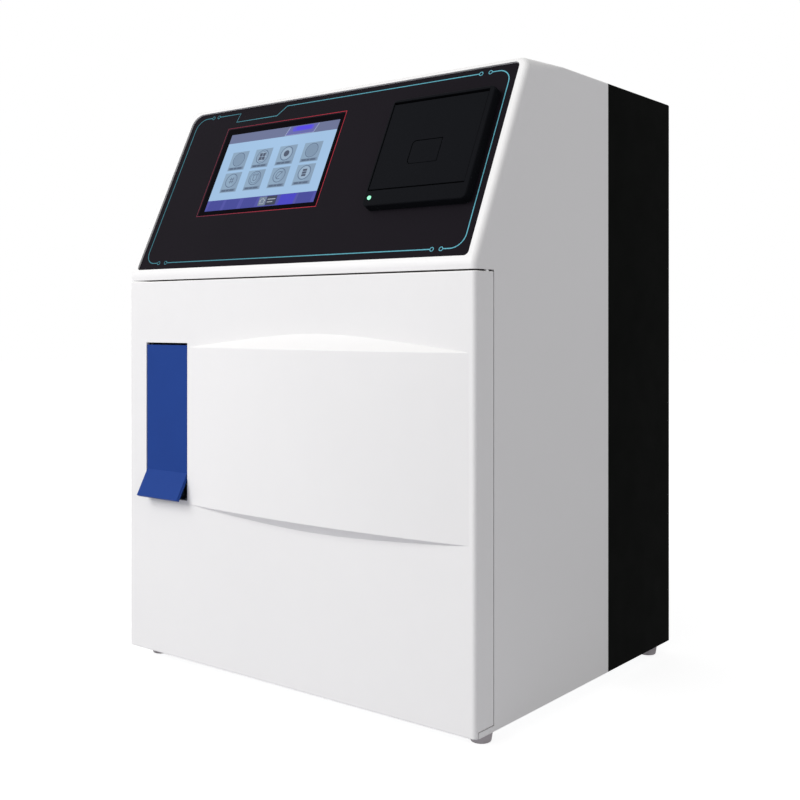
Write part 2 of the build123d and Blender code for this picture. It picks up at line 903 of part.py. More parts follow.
# Panel printer, on the face of the control panel
bezel_face_out = fascia_thickness - pocket_depth
bezel_top_out = bezel_face_out + printer_proud
bezel_face = slope_face.offset(bezel_face_out)
opening_low = (printer_left + lid_strip_left, printer_low + lid_strip_bottom)
opening_high = (printer_right - lid_strip_right, printer_high - lid_strip_top)
lid_low = (opening_low[0] + lid_gap, opening_low[1] + lid_bottom_gap)
lid_high = (opening_high[0] - lid_gap, opening_high[1] - lid_paper_gap)
lid_top_out = bezel_top_out - lid_recess
lid_inner_out = lid_top_out - lid_thickness
lid_pin_rise_at = lid_low[1] + lid_pin_rise
lid_pin_out = lid_top_out - lid_knuckle_radius
lid_pin_y, lid_pin_z = slope_point(lid_pin_rise_at, lid_pin_out)
pin_left = opening_low[0] - lid_pin_bite
pin_right = opening_high[0] + lid_pin_bite
led_x = printer_left + led_side_inset
led_rise = printer_low + led_low_inset

with BuildPart() as printer_bezel:
    with BuildSketch(bezel_face) as bezel_foot:
        rectangle_between((printer_left, printer_low), (printer_right, printer_high))
        fillet(bezel_foot.vertices(), printer_corner_radius)
    extrude(amount=printer_proud, taper=printer_taper)
    fillet(faces().sort_by(slope_out)[-1].edges(), printer_edge_radius)
    with BuildSketch(bezel_face):
        rectangle_between(opening_low, opening_high)
        with Locations((led_x, led_rise)):
            Circle(led_radius)
    extrude(amount=printer_proud, mode=Mode.SUBTRACT)
    cylinder_along_x(lid_pin_y, lid_pin_z, pin_left, pin_right, lid_pin_radius, mode=Mode.SUBTRACT)
printer_bezel.part.label = "printer_bezel"
export_step(printer_bezel.part, "parts/printer_bezel.step")

with BuildPart() as status_led:
    with BuildSketch(bezel_face):
        with Locations((led_x, led_rise)):
            Circle(led_radius)
    extrude(amount=printer_proud + led_dome)
    fillet(faces().sort_by(slope_out)[-1].edges(), led_dome)
status_led.part.label = "status_led"
export_step(status_led.part, "parts/status_led.step")

# Printer body: bucket for the paper roll, with a step for the print head
bucket_low = (body_left + printer_body_wall, lid_low[1] + 2 * lid_pin_rise + 2 * lid_knuckle_radius)
head_high_rise = body_high - printer_body_wall / 2
head_low_rise = head_high_rise - head_length
bucket_high = (body_right - printer_body_wall, head_low_rise - roll_gap)
bucket_floor = printer_body_depth - printer_body_wall
roll_rise = bucket_high[1] - roll_radius - roll_gap
roll_out = bezel_face_out - bucket_floor + roll_radius + roll_gap
roll_y, roll_z = slope_point(roll_rise, roll_out)
roll_middle = (bucket_low[0] + bucket_high[0]) / 2
boss_radius = roll_core_radius - roll_boss_clearance
roll_left = roll_middle - roll_width / 2
roll_right = roll_middle + roll_width / 2

with BuildPart() as printer_body:
    with BuildSketch(bezel_face):
        rectangle_between((body_left, body_low), (body_right, body_high))
    extrude(amount=-printer_body_depth)
    with BuildSketch(bezel_face):
        rectangle_between(bucket_low, bucket_high)
    extrude(amount=-bucket_floor, mode=Mode.SUBTRACT)
    with BuildSketch(bezel_face):
        rectangle_between((bucket_low[0], head_low_rise - roll_gap), (bucket_high[0], head_high_rise))
    extrude(amount=-head_floor_depth, mode=Mode.SUBTRACT)
    boss_reach = 2 * roll_gap
    cylinder_along_x(roll_y, roll_z, bucket_low[0], roll_left + boss_reach, boss_radius)
    cylinder_along_x(roll_y, roll_z, roll_right - boss_reach, bucket_high[0], boss_radius)
printer_body.part.label = "printer_body"
export_step(printer_body.part, "parts/printer_body.step")

with BuildPart() as paper_roll:
    cylinder_along_x(roll_y, roll_z, roll_left, roll_right, roll_radius)
    cylinder_along_x(roll_y, roll_z, roll_left, roll_right, roll_core_radius, mode=Mode.SUBTRACT)
paper_roll.part.label = "paper_roll"
export_step(paper_roll.part, "parts/paper_roll.step")

with BuildPart() as print_head:
    with BuildSketch(bezel_face.offset(-head_floor_depth)):
        rectangle_between(
            (bucket_low[0] + roll_gap, head_low_rise), (bucket_high[0] - roll_gap, head_high_rise)
        )
    extrude(amount=head_height)
print_head.part.label = "print_head"
export_step(print_head.part, "parts/print_head.step")

# Platen roller, carried by the lid over the print head
platen_rise = lid_high[1] - platen_top_offset
head_top_out = bezel_face_out - head_floor_depth + head_height
platen_out = head_top_out + paper_gap + platen_radius
platen_y, platen_z = slope_point(platen_rise, platen_out)
platen_left = bucket_low[0] + platen_end_gap
platen_right = bucket_high[0] - platen_end_gap
lug_gap = roll_gap / 4
lug_left = bucket_low[0] + lug_gap
lug_right = bucket_high[0] - lug_gap
lug_reach = platen_axle_radius + lid_skirt_wall

with BuildPart() as platen_roller:
    cylinder_along_x(platen_y, platen_z, platen_left, platen_right, platen_radius)
    cylinder_along_x(platen_y, platen_z, lug_left, lug_right, platen_axle_radius)
platen_roller.part.label = "platen_roller"
export_step(platen_roller.part, "parts/platen_roller.step")

# Printer lid: plate with side skirts, a full-width knuckle, platen lugs and the button hole
button_left = printer_left + button_left_inset
button_right = button_left + button_width
button_low = printer_low + button_low_inset
button_high = button_low + button_height


def button_outline(margin):
    """Outline of the lid button in the open sketch, rounder on its left, grown by a margin."""
    rectangle_between(
        (button_left - margin, button_low - margin), (button_right + margin, button_high + margin)
    )


with BuildPart() as printer_lid:
    with BuildSketch(slope_face.offset(lid_inner_out)):
        rectangle_between(lid_low, lid_high)
    extrude(amount=lid_thickness)
    fillet(faces().sort_by(slope_out)[-1].edges(), lid_gap)
    with BuildSketch(slope_face.offset(lid_inner_out)):
        skirt_low = lid_low[1] + 2 * lid_pin_rise + lid_knuckle_radius
        rectangle_between((lid_low[0], skirt_low), (lid_low[0] + lid_skirt_wall, lid_high[1]))
        rectangle_between((lid_high[0] - lid_skirt_wall, skirt_low), lid_high)
    extrude(amount=-(lid_skirt_depth - lid_thickness))
    cylinder_along_x(lid_pin_y, lid_pin_z, lid_low[0], lid_high[0], lid_knuckle_radius)
    for low_x, high_x in ((lug_left, platen_left - lug_gap), (platen_right + lug_gap, lug_right)):
        with BuildSketch(slope_face.offset(lid_inner_out)):
            rectangle_between((low_x, platen_rise - lug_reach), (high_x, platen_rise + lug_reach))
        extrude(amount=platen_out - lug_reach - lid_inner_out)
    cylinder_along_x(
        platen_y,
        platen_z,
        lug_left,
        lug_right,
        platen_axle_radius + running_clearance,
        mode=Mode.SUBTRACT,
    )
    cylinder_along_x(
        lid_pin_y,
        lid_pin_z,
        lid_low[0],
        lid_high[0],
        lid_pin_radius + running_clearance,
        mode=Mode.SUBTRACT,
    )
    with BuildSketch(slope_face.offset(lid_inner_out)) as button_hole:
        button_outline(button_gap)
        fillet(button_hole.vertices().group_by(Axis.X)[0], button_corner_radius + button_gap)
    extrude(amount=lid_thickness, mode=Mode.SUBTRACT)
printer_lid.part.label = "printer_lid"
export_step(printer_lid.part, "parts/printer_lid.step")

with BuildPart() as lid_hinge_pin:
    cylinder_along_x(lid_pin_y, lid_pin_z, pin_left, pin_right, lid_pin_radius)
lid_hinge_pin.part.label = "lid_hinge_pin"
export_step(lid_hinge_pin.part, "parts/lid_hinge_pin.step")

# Lid button: sprung push button, held behind the lid by its flange
flange_out = lid_inner_out - button_gap - button_flange_thickness

with BuildPart() as lid_button:
    with BuildSketch(slope_face.offset(lid_top_out - button_thickness)) as button_face:
        button_outline(0)
        fillet(button_face.vertices().group_by(Axis.X)[0], button_corner_radius)
    extrude(amount=button_thickness)
    fillet(faces().sort_by(slope_out)[-1].edges(), button_edge_radius)
    with BuildSketch(slope_face.offset(flange_out)):
        button_outline(button_flange)
    extrude(amount=button_flange_thickness)
lid_button.part.label = "lid_button"
export_step(lid_button.part, "parts/lid_button.step")

# Chassis plate: upright plate behind the bay, with holes for the pump shaft and the valve nose
board_high = board_low + board_height
board_right = board_left + board_width
board_front_y = chassis_back_y + stud_length
stud_inset = 2 * stud_radius
stud_places = [
    (x, base_z + z)
    for x in (board_left + stud_inset, board_right - stud_inset)
    for z in (board_low + stud_inset, board_high - stud_inset)
]
pump_x = inner_half_width - pump_side_margin
pump_z = base_z + pump_height
shaft_hole_radius = pump_shaft_radius + 1.0
valve_x = pump_x + pump_tube_pitch
valve_z = base_z + valve_height
nose_hole_radius = valve_nose_radius + valve_nose_clearance

with BuildPart() as chassis_plate:
    box_between(
        (-inner_half_width + chassis_side_gap, chassis_y, plate_top_z),
        (inner_half_width - chassis_side_gap, chassis_back_y, shelf_low_z),
    )
    cylinder_along_y(pump_x, pump_z, chassis_y, chassis_back_y, shaft_hole_radius, mode=Mode.SUBTRACT)
    cylinder_along_y(valve_x, valve_z, chassis_y, chassis_back_y, nose_hole_radius, mode=Mode.SUBTRACT)
chassis_plate.part.label = "chassis_plate"
export_step(chassis_plate.part, "parts/chassis_plate.step")

# Four standoffs that hold the main board off the chassis plate
with BuildPart() as board_standoffs:
    for x, z in stud_places:
        cylinder_along_y(x, z, chassis_back_y, board_front_y, stud_radius)
board_standoffs.part.label = "board_standoffs"
export_step(board_standoffs.part, "parts/board_standoffs.step")

# Electrode holder: back, floor and two ends, with a pin for the clamp lever
electrode_names = ["potassium", "sodium", "chloride", "calcium", "reference"]
row_end = row_left + electrode_pitch * len(electrode_names)
row_z = base_z + row_floor
electrode_front_y = chassis_y - holder_back_thickness - electrode_depth
holder_left = row_left - holder_end_width
holder_right = row_end + holder_end_width
holder_low_z = row_z - holder_floor_thickness
holder_high_z = row_z + holder_height
holder_front_y = electrode_front_y - holder_front_lip
clamp_x = row_end + holder_end_width / 2
clamp_z = holder_high_z - clamp_drop
clamp_back_y = electrode_front_y - clamp_gap

with BuildPart() as electrode_holder:
    box_between(
        (holder_left, chassis_y - holder_back_thickness, holder_low_z),
        (holder_right, chassis_y, holder_high_z),
    )
    box_between((holder_left, holder_front_y, holder_low_z), (holder_right, chassis_y, row_z))
    for low_x in (holder_left, row_end):
        box_between(
            (low_x, electrode_front_y, holder_low_z),
            (low_x + holder_end_width, chassis_y, holder_high_z),
        )
    cylinder_along_y(
        clamp_x, clamp_z, clamp_back_y - clamp_thickness - clamp_gap, electrode_front_y, clamp_pin_radius
    )
electrode_holder.part.label = "electrode_holder"
export_step(electrode_holder.part, "parts/electrode_holder.step")

# Electrodes: clear blocks in a row, each with a cap and a contact pin
electrode_gap = (electrode_pitch - electrode_width) / 2
electrode_back_y = electrode_front_y + electrode_depth - plate_gap

for number, name in enumerate(electrode_names):
    low_x = row_left + number * electrode_pitch + electrode_gap
    middle_x = low_x + electrode_width / 2
    middle_y = (electrode_front_y + electrode_back_y) / 2
    body_top_z = row_z + electrode_height
    cap_top_z = body_top_z + electrode_cap_height
    with BuildPart() as electrode:
        box_between(
            (low_x, electrode_front_y, row_z), (low_x + electrode_width, electrode_back_y, body_top_z)
        )
        fillet(edges().filter_by(Axis.Z), 1.5)
        cylinder_along_z(middle_x, middle_y, body_top_z, cap_top_z, electrode_cap_radius)
        pin_top_z = cap_top_z + electrode_pin_height
        cylinder_along_z(middle_x, middle_y, cap_top_z, pin_top_z, electrode_pin_radius)
    electrode.part.label = f"{name}_electrode"
    export_step(electrode.part, f"parts/{name}_electrode.step")

# Clamp lever on the front of the holder's right end
with BuildPart() as clamp_lever:
    with BuildSketch(facing_front(clamp_back_y)):
        with Locations((clamp_x, clamp_z)):
            Circle(clamp_radius)
        rectangle_between(
            (clamp_x - clamp_radius / 2, clamp_z), (clamp_x + clamp_radius / 2, clamp_z + clamp_reach)
        )
        with Locations((clamp_x, clamp_z + clamp_reach)):
            Circle(clamp_radius / 2)
        with Locations((clamp_x, clamp_z)):
            Circle(clamp_pin_radius + running_clearance, mode=Mode.SUBTRACT)
    extrude(amount=clamp_thickness)
clamp_lever.part.label = "clamp_lever"
export_step(clamp_lever.part, "parts/clamp_lever.step")

# Sampler: swinging arm on a cheeked bracket behind the slot
probe_x = (slot_left + slot_right) / 2
probe_pivot_y = front_y + probe_pivot_setback
probe_pivot_z = base_z + probe_pivot_height
needle_y = probe_pivot_y - probe_reach
needle_top_z = probe_pivot_z + needle_above
needle_tip_z = needle_top_z - needle_length
hub_left = probe_x - probe_hub_width / 2
hub_right = probe_x + probe_hub_width / 2
cheek_inner_left = hub_left - cheek_gap
cheek_inner_right = hub_right + cheek_gap

with BuildPart() as probe_arm:
    cylinder_along_x(probe_pivot_y, probe_pivot_z, hub_left, hub_right, probe_hub_radius)
    cylinder_along_x(
        probe_pivot_y,
        probe_pivot_z,
        cheek_inner_left - cheek_thickness,
        cheek_inner_right + cheek_thickness,
        probe_axle_radius,
    )
    box_between(
        (probe_x - probe_block_radius, needle_y, probe_pivot_z - probe_arm_thickness / 2),
        (probe_x + probe_block_radius, probe_pivot_y, probe_pivot_z + probe_arm_thickness / 2),
    )
    cylinder_along_z(
        probe_x,
        needle_y,
        probe_pivot_z - 2 * probe_arm_thickness,
        needle_top_z,
        probe_block_radius,
    )
    cylinder_along_z(
        probe_x,
        needle_y,
        probe_pivot_z - 2 * probe_arm_thickness,
        needle_top_z,
        needle_radius,
        mode=Mode.SUBTRACT,
    )
    cylinder_along_x(
        probe_pivot_y,
        probe_pivot_z,
        hub_right,
        cheek_inner_right + cheek_thickness,
        tube_radius + running_clearance,
        mode=Mode.SUBTRACT,
    )
probe_arm.part.label = "probe_arm"
export_step(probe_arm.part, "parts/probe_arm.step")

with BuildPart() as sample_needle:
    cylinder_along_z(probe_x, needle_y, needle_tip_z, needle_top_z, needle_radius)
sample_needle.part.label = "sample_needle"
export_step(sample_needle.part, "parts/sample_needle.step")

with BuildPart() as sampler_bracket:
    bracket_low_z = probe_pivot_z - cheek_height / 2
    bracket_high_z = probe_pivot_z + cheek_height / 2
    for low_x in (cheek_inner_left - cheek_thickness, cheek_inner_right):
        box_between(
            (low_x, probe_pivot_y - probe_hub_radius, bracket_low_z),
            (low_x + cheek_thickness, chassis_y, bracket_high_z),
        )
    box_between(
        (cheek_inner_left - cheek_thickness, chassis_y - bracket_foot, bracket_low_z),
        (cheek_inner_right + cheek_thickness, chassis_y, bracket_high_z),
    )
    cylinder_along_x(
        probe_pivot_y,
        probe_pivot_z,
        cheek_inner_left - cheek_thickness,
        cheek_inner_right + cheek_thickness,
        probe_axle_radius + running_clearance,
        mode=Mode.SUBTRACT,
    )
sampler_bracket.part.label = "sampler_bracket"
export_step(sampler_bracket.part, "parts/sampler_bracket.step")

# Rinse cup under the needle, on an arm from the chassis plate
cup_high_z = needle_tip_z - cup_gap
cup_low_z = cup_high_z - cup_height

with BuildPart() as rinse_cup:
    cylinder_along_z(probe_x, needle_y, cup_low_z, cup_high_z, cup_radius)
    box_between(
        (probe_x - cup_arm_width / 2, needle_y, cup_low_z),
        (probe_x + cup_arm_width / 2, chassis_y, cup_low_z + cup_arm_height),
    )
    bore_low_z = cup_high_z - cup_depth
    cylinder_along_z(probe_x, needle_y, bore_low_z, cup_high_z, cup_bore_radius, mode=Mode.SUBTRACT)
    cylinder_along_z(probe_x, needle_y, cup_low_z - cup_arm_height, cup_low_z, tube_radius)
rinse_cup.part.label = "rinse_cup"
export_step(rinse_cup.part, "parts/rinse_cup.step")

# Sample tube: out of the arm's axle, then down to the first electrode
sample_inlet_z = row_z + electrode_height / 2
sample_inlet_y = electrode_front_y + electrode_depth / 2
tube_start = (hub_right, probe_pivot_y, probe_pivot_z)
tube_turn_x = (cheek_inner_right + cheek_thickness + holder_left) / 2
sample_tube_points = [
    tube_start,
    (tube_turn_x, probe_pivot_y, probe_pivot_z),
    (tube_turn_x, sample_inlet_y, sample_inlet_z),
    (holder_left, sample_inlet_y, sample_inlet_z),
]


def tube_arc_radii(points):
    """Largest arc at each corner of a tube's route, from its shorter run and its turn."""
    radii = []
    for before, corner, after in zip(points, points[1:], points[2:]):
        run_in = Vector(*corner) - Vector(*before)
        run_out = Vector(*after) - Vector(*corner)
        half_turn = radians(run_in.get_angle(run_out)) / 2
        shorter = min(run_in.length, run_out.length)
        radii.append(0.45 * shorter * cos(half_turn) / sin(half_turn))
    return radii


sample_tube_radii = tube_arc_radii(sample_tube_points)
print("sample tube arc radii", [round(radius, 1) for radius in sample_tube_radii])

with BuildPart() as sample_tube:
    with BuildLine():
        FilletPolyline(*sample_tube_points, radius=sample_tube_radii)
    with BuildSketch(Plane(origin=tube_start, z_dir=(1, 0, 0))):
        Circle(tube_radius)
        Circle(tube_bore_radius, mode=Mode.SUBTRACT)
    sweep()
sample_tube.part.label = "sample_tube"
export_step(sample_tube.part, "parts/sample_tube.step")

# Pump tube: from the measuring row, round the pump's track and down to the reagent pack
pump_front_y = chassis_y - pump_body_depth
rotor_front_y = pump_front_y + rotor_setback
rotor_back_y = chassis_y - pump_floor - rotor_setback
tube_y = (rotor_front_y + rotor_back_y) / 2
pack_top_z = plate_top_z + pack_height
manifold_top_z = pack_top_z + manifold_height
outlet_z = row_z + electrode_height / 4

with BuildPart() as pump_tube:
    with BuildLine(facing_front(tube_y)):
        Polyline(
            (holder_right, outlet_z), (pump_x - pump_tube_pitch - tube_bend_radius, outlet_z)
        )
        RadiusArc(
            (pump_x - pump_tube_pitch - tube_bend_radius, outlet_z),
            (pump_x - pump_tube_pitch, outlet_z + tube_bend_radius),
            -tube_bend_radius,
        )
        Line((pump_x - pump_tube_pitch, outlet_z + tube_bend_radius), (pump_x - pump_tube_pitch, pump_z))
        ThreePointArc(
            (pump_x - pump_tube_pitch, pump_z),
            (pump_x, pump_z + pump_tube_pitch),
            (pump_x + pump_tube_pitch, pump_z),
        )
        Line((pump_x + pump_tube_pitch, pump_z), (pump_x + pump_tube_pitch, manifold_top_z))
    with BuildSketch(Plane(origin=(holder_right, tube_y, outlet_z), z_dir=(1, 0, 0))):
        Circle(tube_radius)
        Circle(tube_bore_radius, mode=Mode.SUBTRACT)
    sweep()
pump_tube.part.label = "pump_tube"
export_step(pump_tube.part, "parts/pump_tube.step")

# Pump housing: block with a round track, open below where the tube comes in
track_radius = pump_tube_pitch + tube_radius + track_clearance

with BuildPart() as pump_housing:
    box_between(
        (pump_x - pump_body_half, pump_front_y, pump_z - pump_body_half),
        (pump_x + pump_body_half, chassis_y, pump_z + pump_body_half),
    )
    fillet(edges().filter_by(Axis.Y), 4.0)
    pocket_back_y = chassis_y - pump_floor
    cylinder_along_y(pump_x, pump_z, pump_front_y, pocket_back_y, track_radius, mode=Mode.SUBTRACT)
    box_between(
        (pump_x - track_radius, pump_front_y, pump_z - pump_body_half),
        (pump_x + track_radius, pocket_back_y, pump_z),
        mode=Mode.SUBTRACT,
    )
    cylinder_along_y(pump_x, pump_z, pocket_back_y, chassis_y, shaft_hole_radius, mode=Mode.SUBTRACT)
pump_housing.part.label = "pump_housing"
export_step(pump_housing.part, "parts/pump_housing.step")

# Pump rotor: two discs on a hub, pins for the rollers, and the shaft back to the motor
roller_pitch = pump_tube_pitch - tube_radius - roller_tube_gap - roller_radius
roller_front_y = rotor_front_y + rotor_plate_thickness + roller_end_gap
roller_back_y = rotor_back_y - rotor_plate_thickness - roller_end_gap
roller_angles = [90 + number * 360 / roller_count for number in range(roller_count)]
roller_places = [
    (pump_x + roller_pitch * cos(radians(angle)), pump_z + roller_pitch * sin(radians(angle)))
    for angle in roller_angles
]

with BuildPart() as pump_rotor:
    plate_back_y = rotor_front_y + rotor_plate_thickness
    cylinder_along_y(pump_x, pump_z, rotor_front_y, plate_back_y, rotor_plate_radius)
    plate_front_y = rotor_back_y - rotor_plate_thickness
    cylinder_along_y(pump_x, pump_z, plate_front_y, rotor_back_y, rotor_plate_radius)
    cylinder_along_y(pump_x, pump_z, plate_back_y, plate_front_y, rotor_hub_radius)
    for x, z in roller_places:
        cylinder_along_y(x, z, rotor_front_y, rotor_back_y, roller_pin_radius)
    cylinder_along_y(pump_x, pump_z, rotor_back_y, rotor_back_y + pump_shaft_length, pump_shaft_radius)
pump_rotor.part.label = "pump_rotor"
export_step(pump_rotor.part, "parts/pump_rotor.step")

for number, (x, z) in enumerate(roller_places, start=1):
    with BuildPart() as roller:
        cylinder_along_y(x, z, roller_front_y, roller_back_y, roller_radius)
        bore = roller_pin_radius + running_clearance
        cylinder_along_y(x, z, roller_front_y, roller_back_y, bore, mode=Mode.SUBTRACT)
    roller.part.label = f"pump_roller_{number}"
    export_step(roller.part, f"parts/pump_roller_{number}.step")

# Pump motor behind the chassis plate, with a bore for the rotor's shaft
motor_bore_radius = pump_shaft_radius + running_clearance

with BuildPart() as pump_motor:
    motor_back_y = chassis_back_y + pump_motor_length
    cylinder_along_y(pump_x, pump_z, chassis_back_y, motor_back_y, pump_motor_radius)
    bore_back_y = rotor_back_y + pump_shaft_length + 1.0
    cylinder_along_y(
        pump_x, pump_z, chassis_back_y, bore_back_y, motor_bore_radius, mode=Mode.SUBTRACT
    )
pump_motor.part.label = "pump_motor"
export_step(pump_motor.part, "parts/pump_motor.step")

# Pinch valve: solenoid behind the chassis plate, with a jaw round the tube in front of it
valve_body_back_y = chassis_back_y + valve_length
nose_y = chassis_y - valve_nose_proud
anvil_back_y = tube_y - tube_radius - valve_tube_gap
anvil_front_y = anvil_back_y - valve_bar_depth
rod_front_y = tube_y + tube_radius + valve_tube_gap + valve_travel
rod_back_y = rod_front_y + valve_rod_length
jaw_low_z = valve_z - valve_jaw_height / 2
jaw_high_z = valve_z + valve_jaw_height / 2
jaw_outer = valve_window / 2 + valve_post_width

with BuildPart() as valve_body:
    cylinder_along_y(valve_x, valve_z, chassis_back_y, valve_body_back_y, valve_radius)
    fillet(edges().sort_by(Axis.Y)[-1], 1.5)
    cylinder_along_y(valve_x, valve_z, nose_y, chassis_back_y, valve_nose_radius)
    for side in (-1, 1):
        post_middle_x = valve_x + side * (valve_window + valve_post_width) / 2
        box_between(
            (post_middle_x - valve_post_width / 2, anvil_front_y, jaw_low_z),
            (post_middle_x + valve_post_width / 2, nose_y, jaw_high_z),
        )
    box_between(
        (valve_x - jaw_outer, anvil_front_y, jaw_low_z), (valve_x + jaw_outer, anvil_back_y, jaw_high_z)
    )
    bore_end_y = rod_back_y + 1.0
    bore_radius = valve_rod_radius + running_clearance
    cylinder_along_y(valve_x, valve_z, nose_y, bore_end_y, bore_radius, mode=Mode.SUBTRACT)
valve_body.part.label = "valve_body"
export_step(valve_body.part, "parts/valve_body.step")

with BuildPart() as valve_plunger:
    cylinder_along_y(valve_x, valve_z, rod_front_y, rod_back_y, valve_rod_radius)
    chamfer(edges().sort_by(Axis.Y)[0], 0.8)
valve_plunger.part.label = "valve_plunger"
export_step(valve_plunger.part, "parts/valve_plunger.step")

# Reagent pack on the floor of the bay, and the manifold on its top
pack_right = inner_half_width - pack_side_gap
manifold_left = pump_x + pump_tube_pitch - manifold_width / 2

pack_front_y = front_y + pack_front_setback
pack_back_y = chassis_y - pack_rear_gap

with BuildPart() as reagent_pack:
    box_between((pack_left, pack_front_y, plate_top_z), (pack_right, pack_back_y, pack_top_z))
    fillet(edges().filter_by(Axis.Z), pack_radius)
    box_between(
        (pack_left, pack_front_y, plate_top_z),
        (pack_right, front_y + sill_depth + plate_gap, sill_z),
        mode=Mode.SUBTRACT,
    )
reagent_pack.part.label = "reagent_pack"
export_step(reagent_pack.part, "parts/reagent_pack.step")

with BuildPart() as pack_connector:
    box_between(
        (manifold_left, tube_y - manifold_depth / 2, pack_top_z),
        (manifold_left + manifold_width, tube_y + manifold_depth / 2, manifold_top_z),
    )
    fillet(edges().filter_by(Axis.Z), 2.0)
pack_connector.part.label = "pack_connector"
export_step(pack_connector.part, "parts/pack_connector.step")

# Main board on the studs, with its larger components
with BuildPart() as main_board:
    board_back_y = board_front_y + board_thickness
    box_between(
        (board_left, board_front_y, base_z + board_low),
        (board_right, board_back_y, base_z + board_high),
    )
    for share_x in (0.2, 0.5, 0.8):
        for share_z in (0.3, 0.7):
            x = board_left + share_x * board_width
            z = base_z + board_low + share_z * board_height
            box_between(
                (x - 3 * chip_height, board_back_y, z - 3 * chip_height),
                (x + 3 * chip_height, board_back_y + chip_height, z + 3 * chip_height),
            )
main_board.part.label = "main_board"
export_step(main_board.part, "parts/main_board.step")

# Power supply on the base plate
with BuildPart() as power_supply:
    supply_right = inner_half_width - supply_side_gap
    supply_back_y = rear_y - supply_rear_gap
    box_between(
        (supply_right - supply_width, supply_back_y - supply_depth, plate_top_z),
        (supply_right, supply_back_y, plate_top_z + supply_height),
    )
    fillet(edges().filter_by(Axis.Z), 1.0)
power_supply.part.label = "power_supply"
export_step(power_supply.part, "parts/power_supply.step")

# Rear panel with the fan grille, vents, inlet, switch and data port openings
fan_z = base_z + fan_height
inlet_z = base_z + inlet_height
switch_z = base_z + switch_height
port_z = base_z + port_height
grille_rings = int((fan_bore_radius - grille_hole_radius) / grille_pitch)

with BuildPart() as rear_panel:
    box_between(
        (-inner_half_width + panel_clearance, ledge_back_y, plate_top_z + plate_gap + panel_clearance),
        (inner_half_width - panel_clearance, rear_y, top_z - wall - panel_clearance),
    )
    with BuildSketch(facing_front(rear_y)):
        with Locations((fan_x, fan_z)):
            Circle(grille_hole_radius)
            for ring in range(1, grille_rings + 1):
                with PolarLocations(ring * grille_pitch, 6 * ring):
                    Circle(grille_hole_radius)
        with Locations((vent_x, base_z + vent_height)):
            with GridLocations(vent_pitch, vent_pitch, 1, vent_rows):
                SlotOverall(vent_length, vent_width)
        with Locations((inlet_x, inlet_z)):
            Rectangle(inlet_width, inlet_body_height)
        with Locations((switch_x, switch_z)):
            Rectangle(switch_width, switch_body_height)
        with Locations((port_x, port_z)):
            Rectangle(port_width, port_body_height)
        with Locations(*screw_places):
            Circle(panel_screw_radius)
    extrude(amount=rear_panel_thickness, mode=Mode.SUBTRACT)
rear_panel.part.label = "rear_panel"
export_step(rear_panel.part, "parts/rear_panel.step")

with BuildPart() as panel_screws:
    for x, z in screw_places:
        cylinder_along_y(x, z, rear_y - panel_screw_length, rear_y, panel_screw_radius)
        cylinder_along_y(x, z, rear_y, rear_y + panel_screw_head_height, panel_screw_head_radius)
panel_screws.part.label = "panel_screws"
export_step(panel_screws.part, "parts/panel_screws.step")

# Fan: square frame with struts to a hub, and a bladed rotor behind them
fan_back_y = ledge_back_y
fan_front_y = fan_back_y - fan_depth
fan_hub_back_y = fan_front_y + fan_strut_depth
fan_rotor_front_y = fan_hub_back_y + fan_hub_gap
fan_rotor_back_y = fan_back_y - fan_hub_gap

with BuildPart() as fan_frame:
    with BuildSketch(facing_front(fan_back_y)) as frame_outline:
        with Locations((fan_x, fan_z)):
            RectangleRounded(fan_size, fan_size, 4.0)
            Circle(fan_bore_radius, mode=Mode.SUBTRACT)
    extrude(amount=fan_depth)
    with BuildSketch(facing_front(fan_hub_back_y)):
        with Locations((fan_x, fan_z)):
            Circle(fan_hub_radius)
            Rectangle(2 * fan_bore_radius + fan_strut_width / 2, fan_strut_width)
            Rectangle(fan_strut_width, 2 * fan_bore_radius + fan_strut_width / 2)
    extrude(amount=fan_strut_depth)
    axle_end_y = fan_hub_back_y + fan_axle_length
    cylinder_along_y(fan_x, fan_z, fan_hub_back_y, axle_end_y, fan_axle_radius)
fan_frame.part.label = "fan_frame"
export_step(fan_frame.part, "parts/fan_frame.step")

with BuildPart() as fan_rotor:
    cylinder_along_y(fan_x, fan_z, fan_rotor_front_y, fan_rotor_back_y, fan_hub_radius)
    blade_length = fan_rotor_radius - fan_hub_radius / 2
    blade_chord = (fan_rotor_back_y - fan_rotor_front_y) * 0.9
    blade_y = (fan_rotor_front_y + fan_rotor_back_y) / 2
    hub_plane = Plane(origin=(fan_x, blade_y, fan_z), x_dir=(1, 0, 0), z_dir=(0, -1, 0))
    with Locations(hub_plane):
        with PolarLocations(fan_hub_radius / 2 + blade_length / 2, fan_blades):
            Box(blade_length, fan_blade_thickness, blade_chord, rotation=(fan_blade_angle, 0, 0))
    cylinder_along_y(
        fan_x, fan_z, fan_rotor_front_y, fan_rotor_back_y, fan_rotor_radius, mode=Mode.INTERSECT
    )
    bore_end_y = axle_end_y + running_clearance
    bore_radius = fan_axle_radius + running_clearance
    cylinder_along_y(
        fan_x, fan_z, fan_rotor_front_y, bore_end_y, bore_radius, mode=Mode.SUBTRACT
    )
fan_rotor.part.label = "fan_rotor"
export_step(fan_rotor.part, "parts/fan_rotor.step")

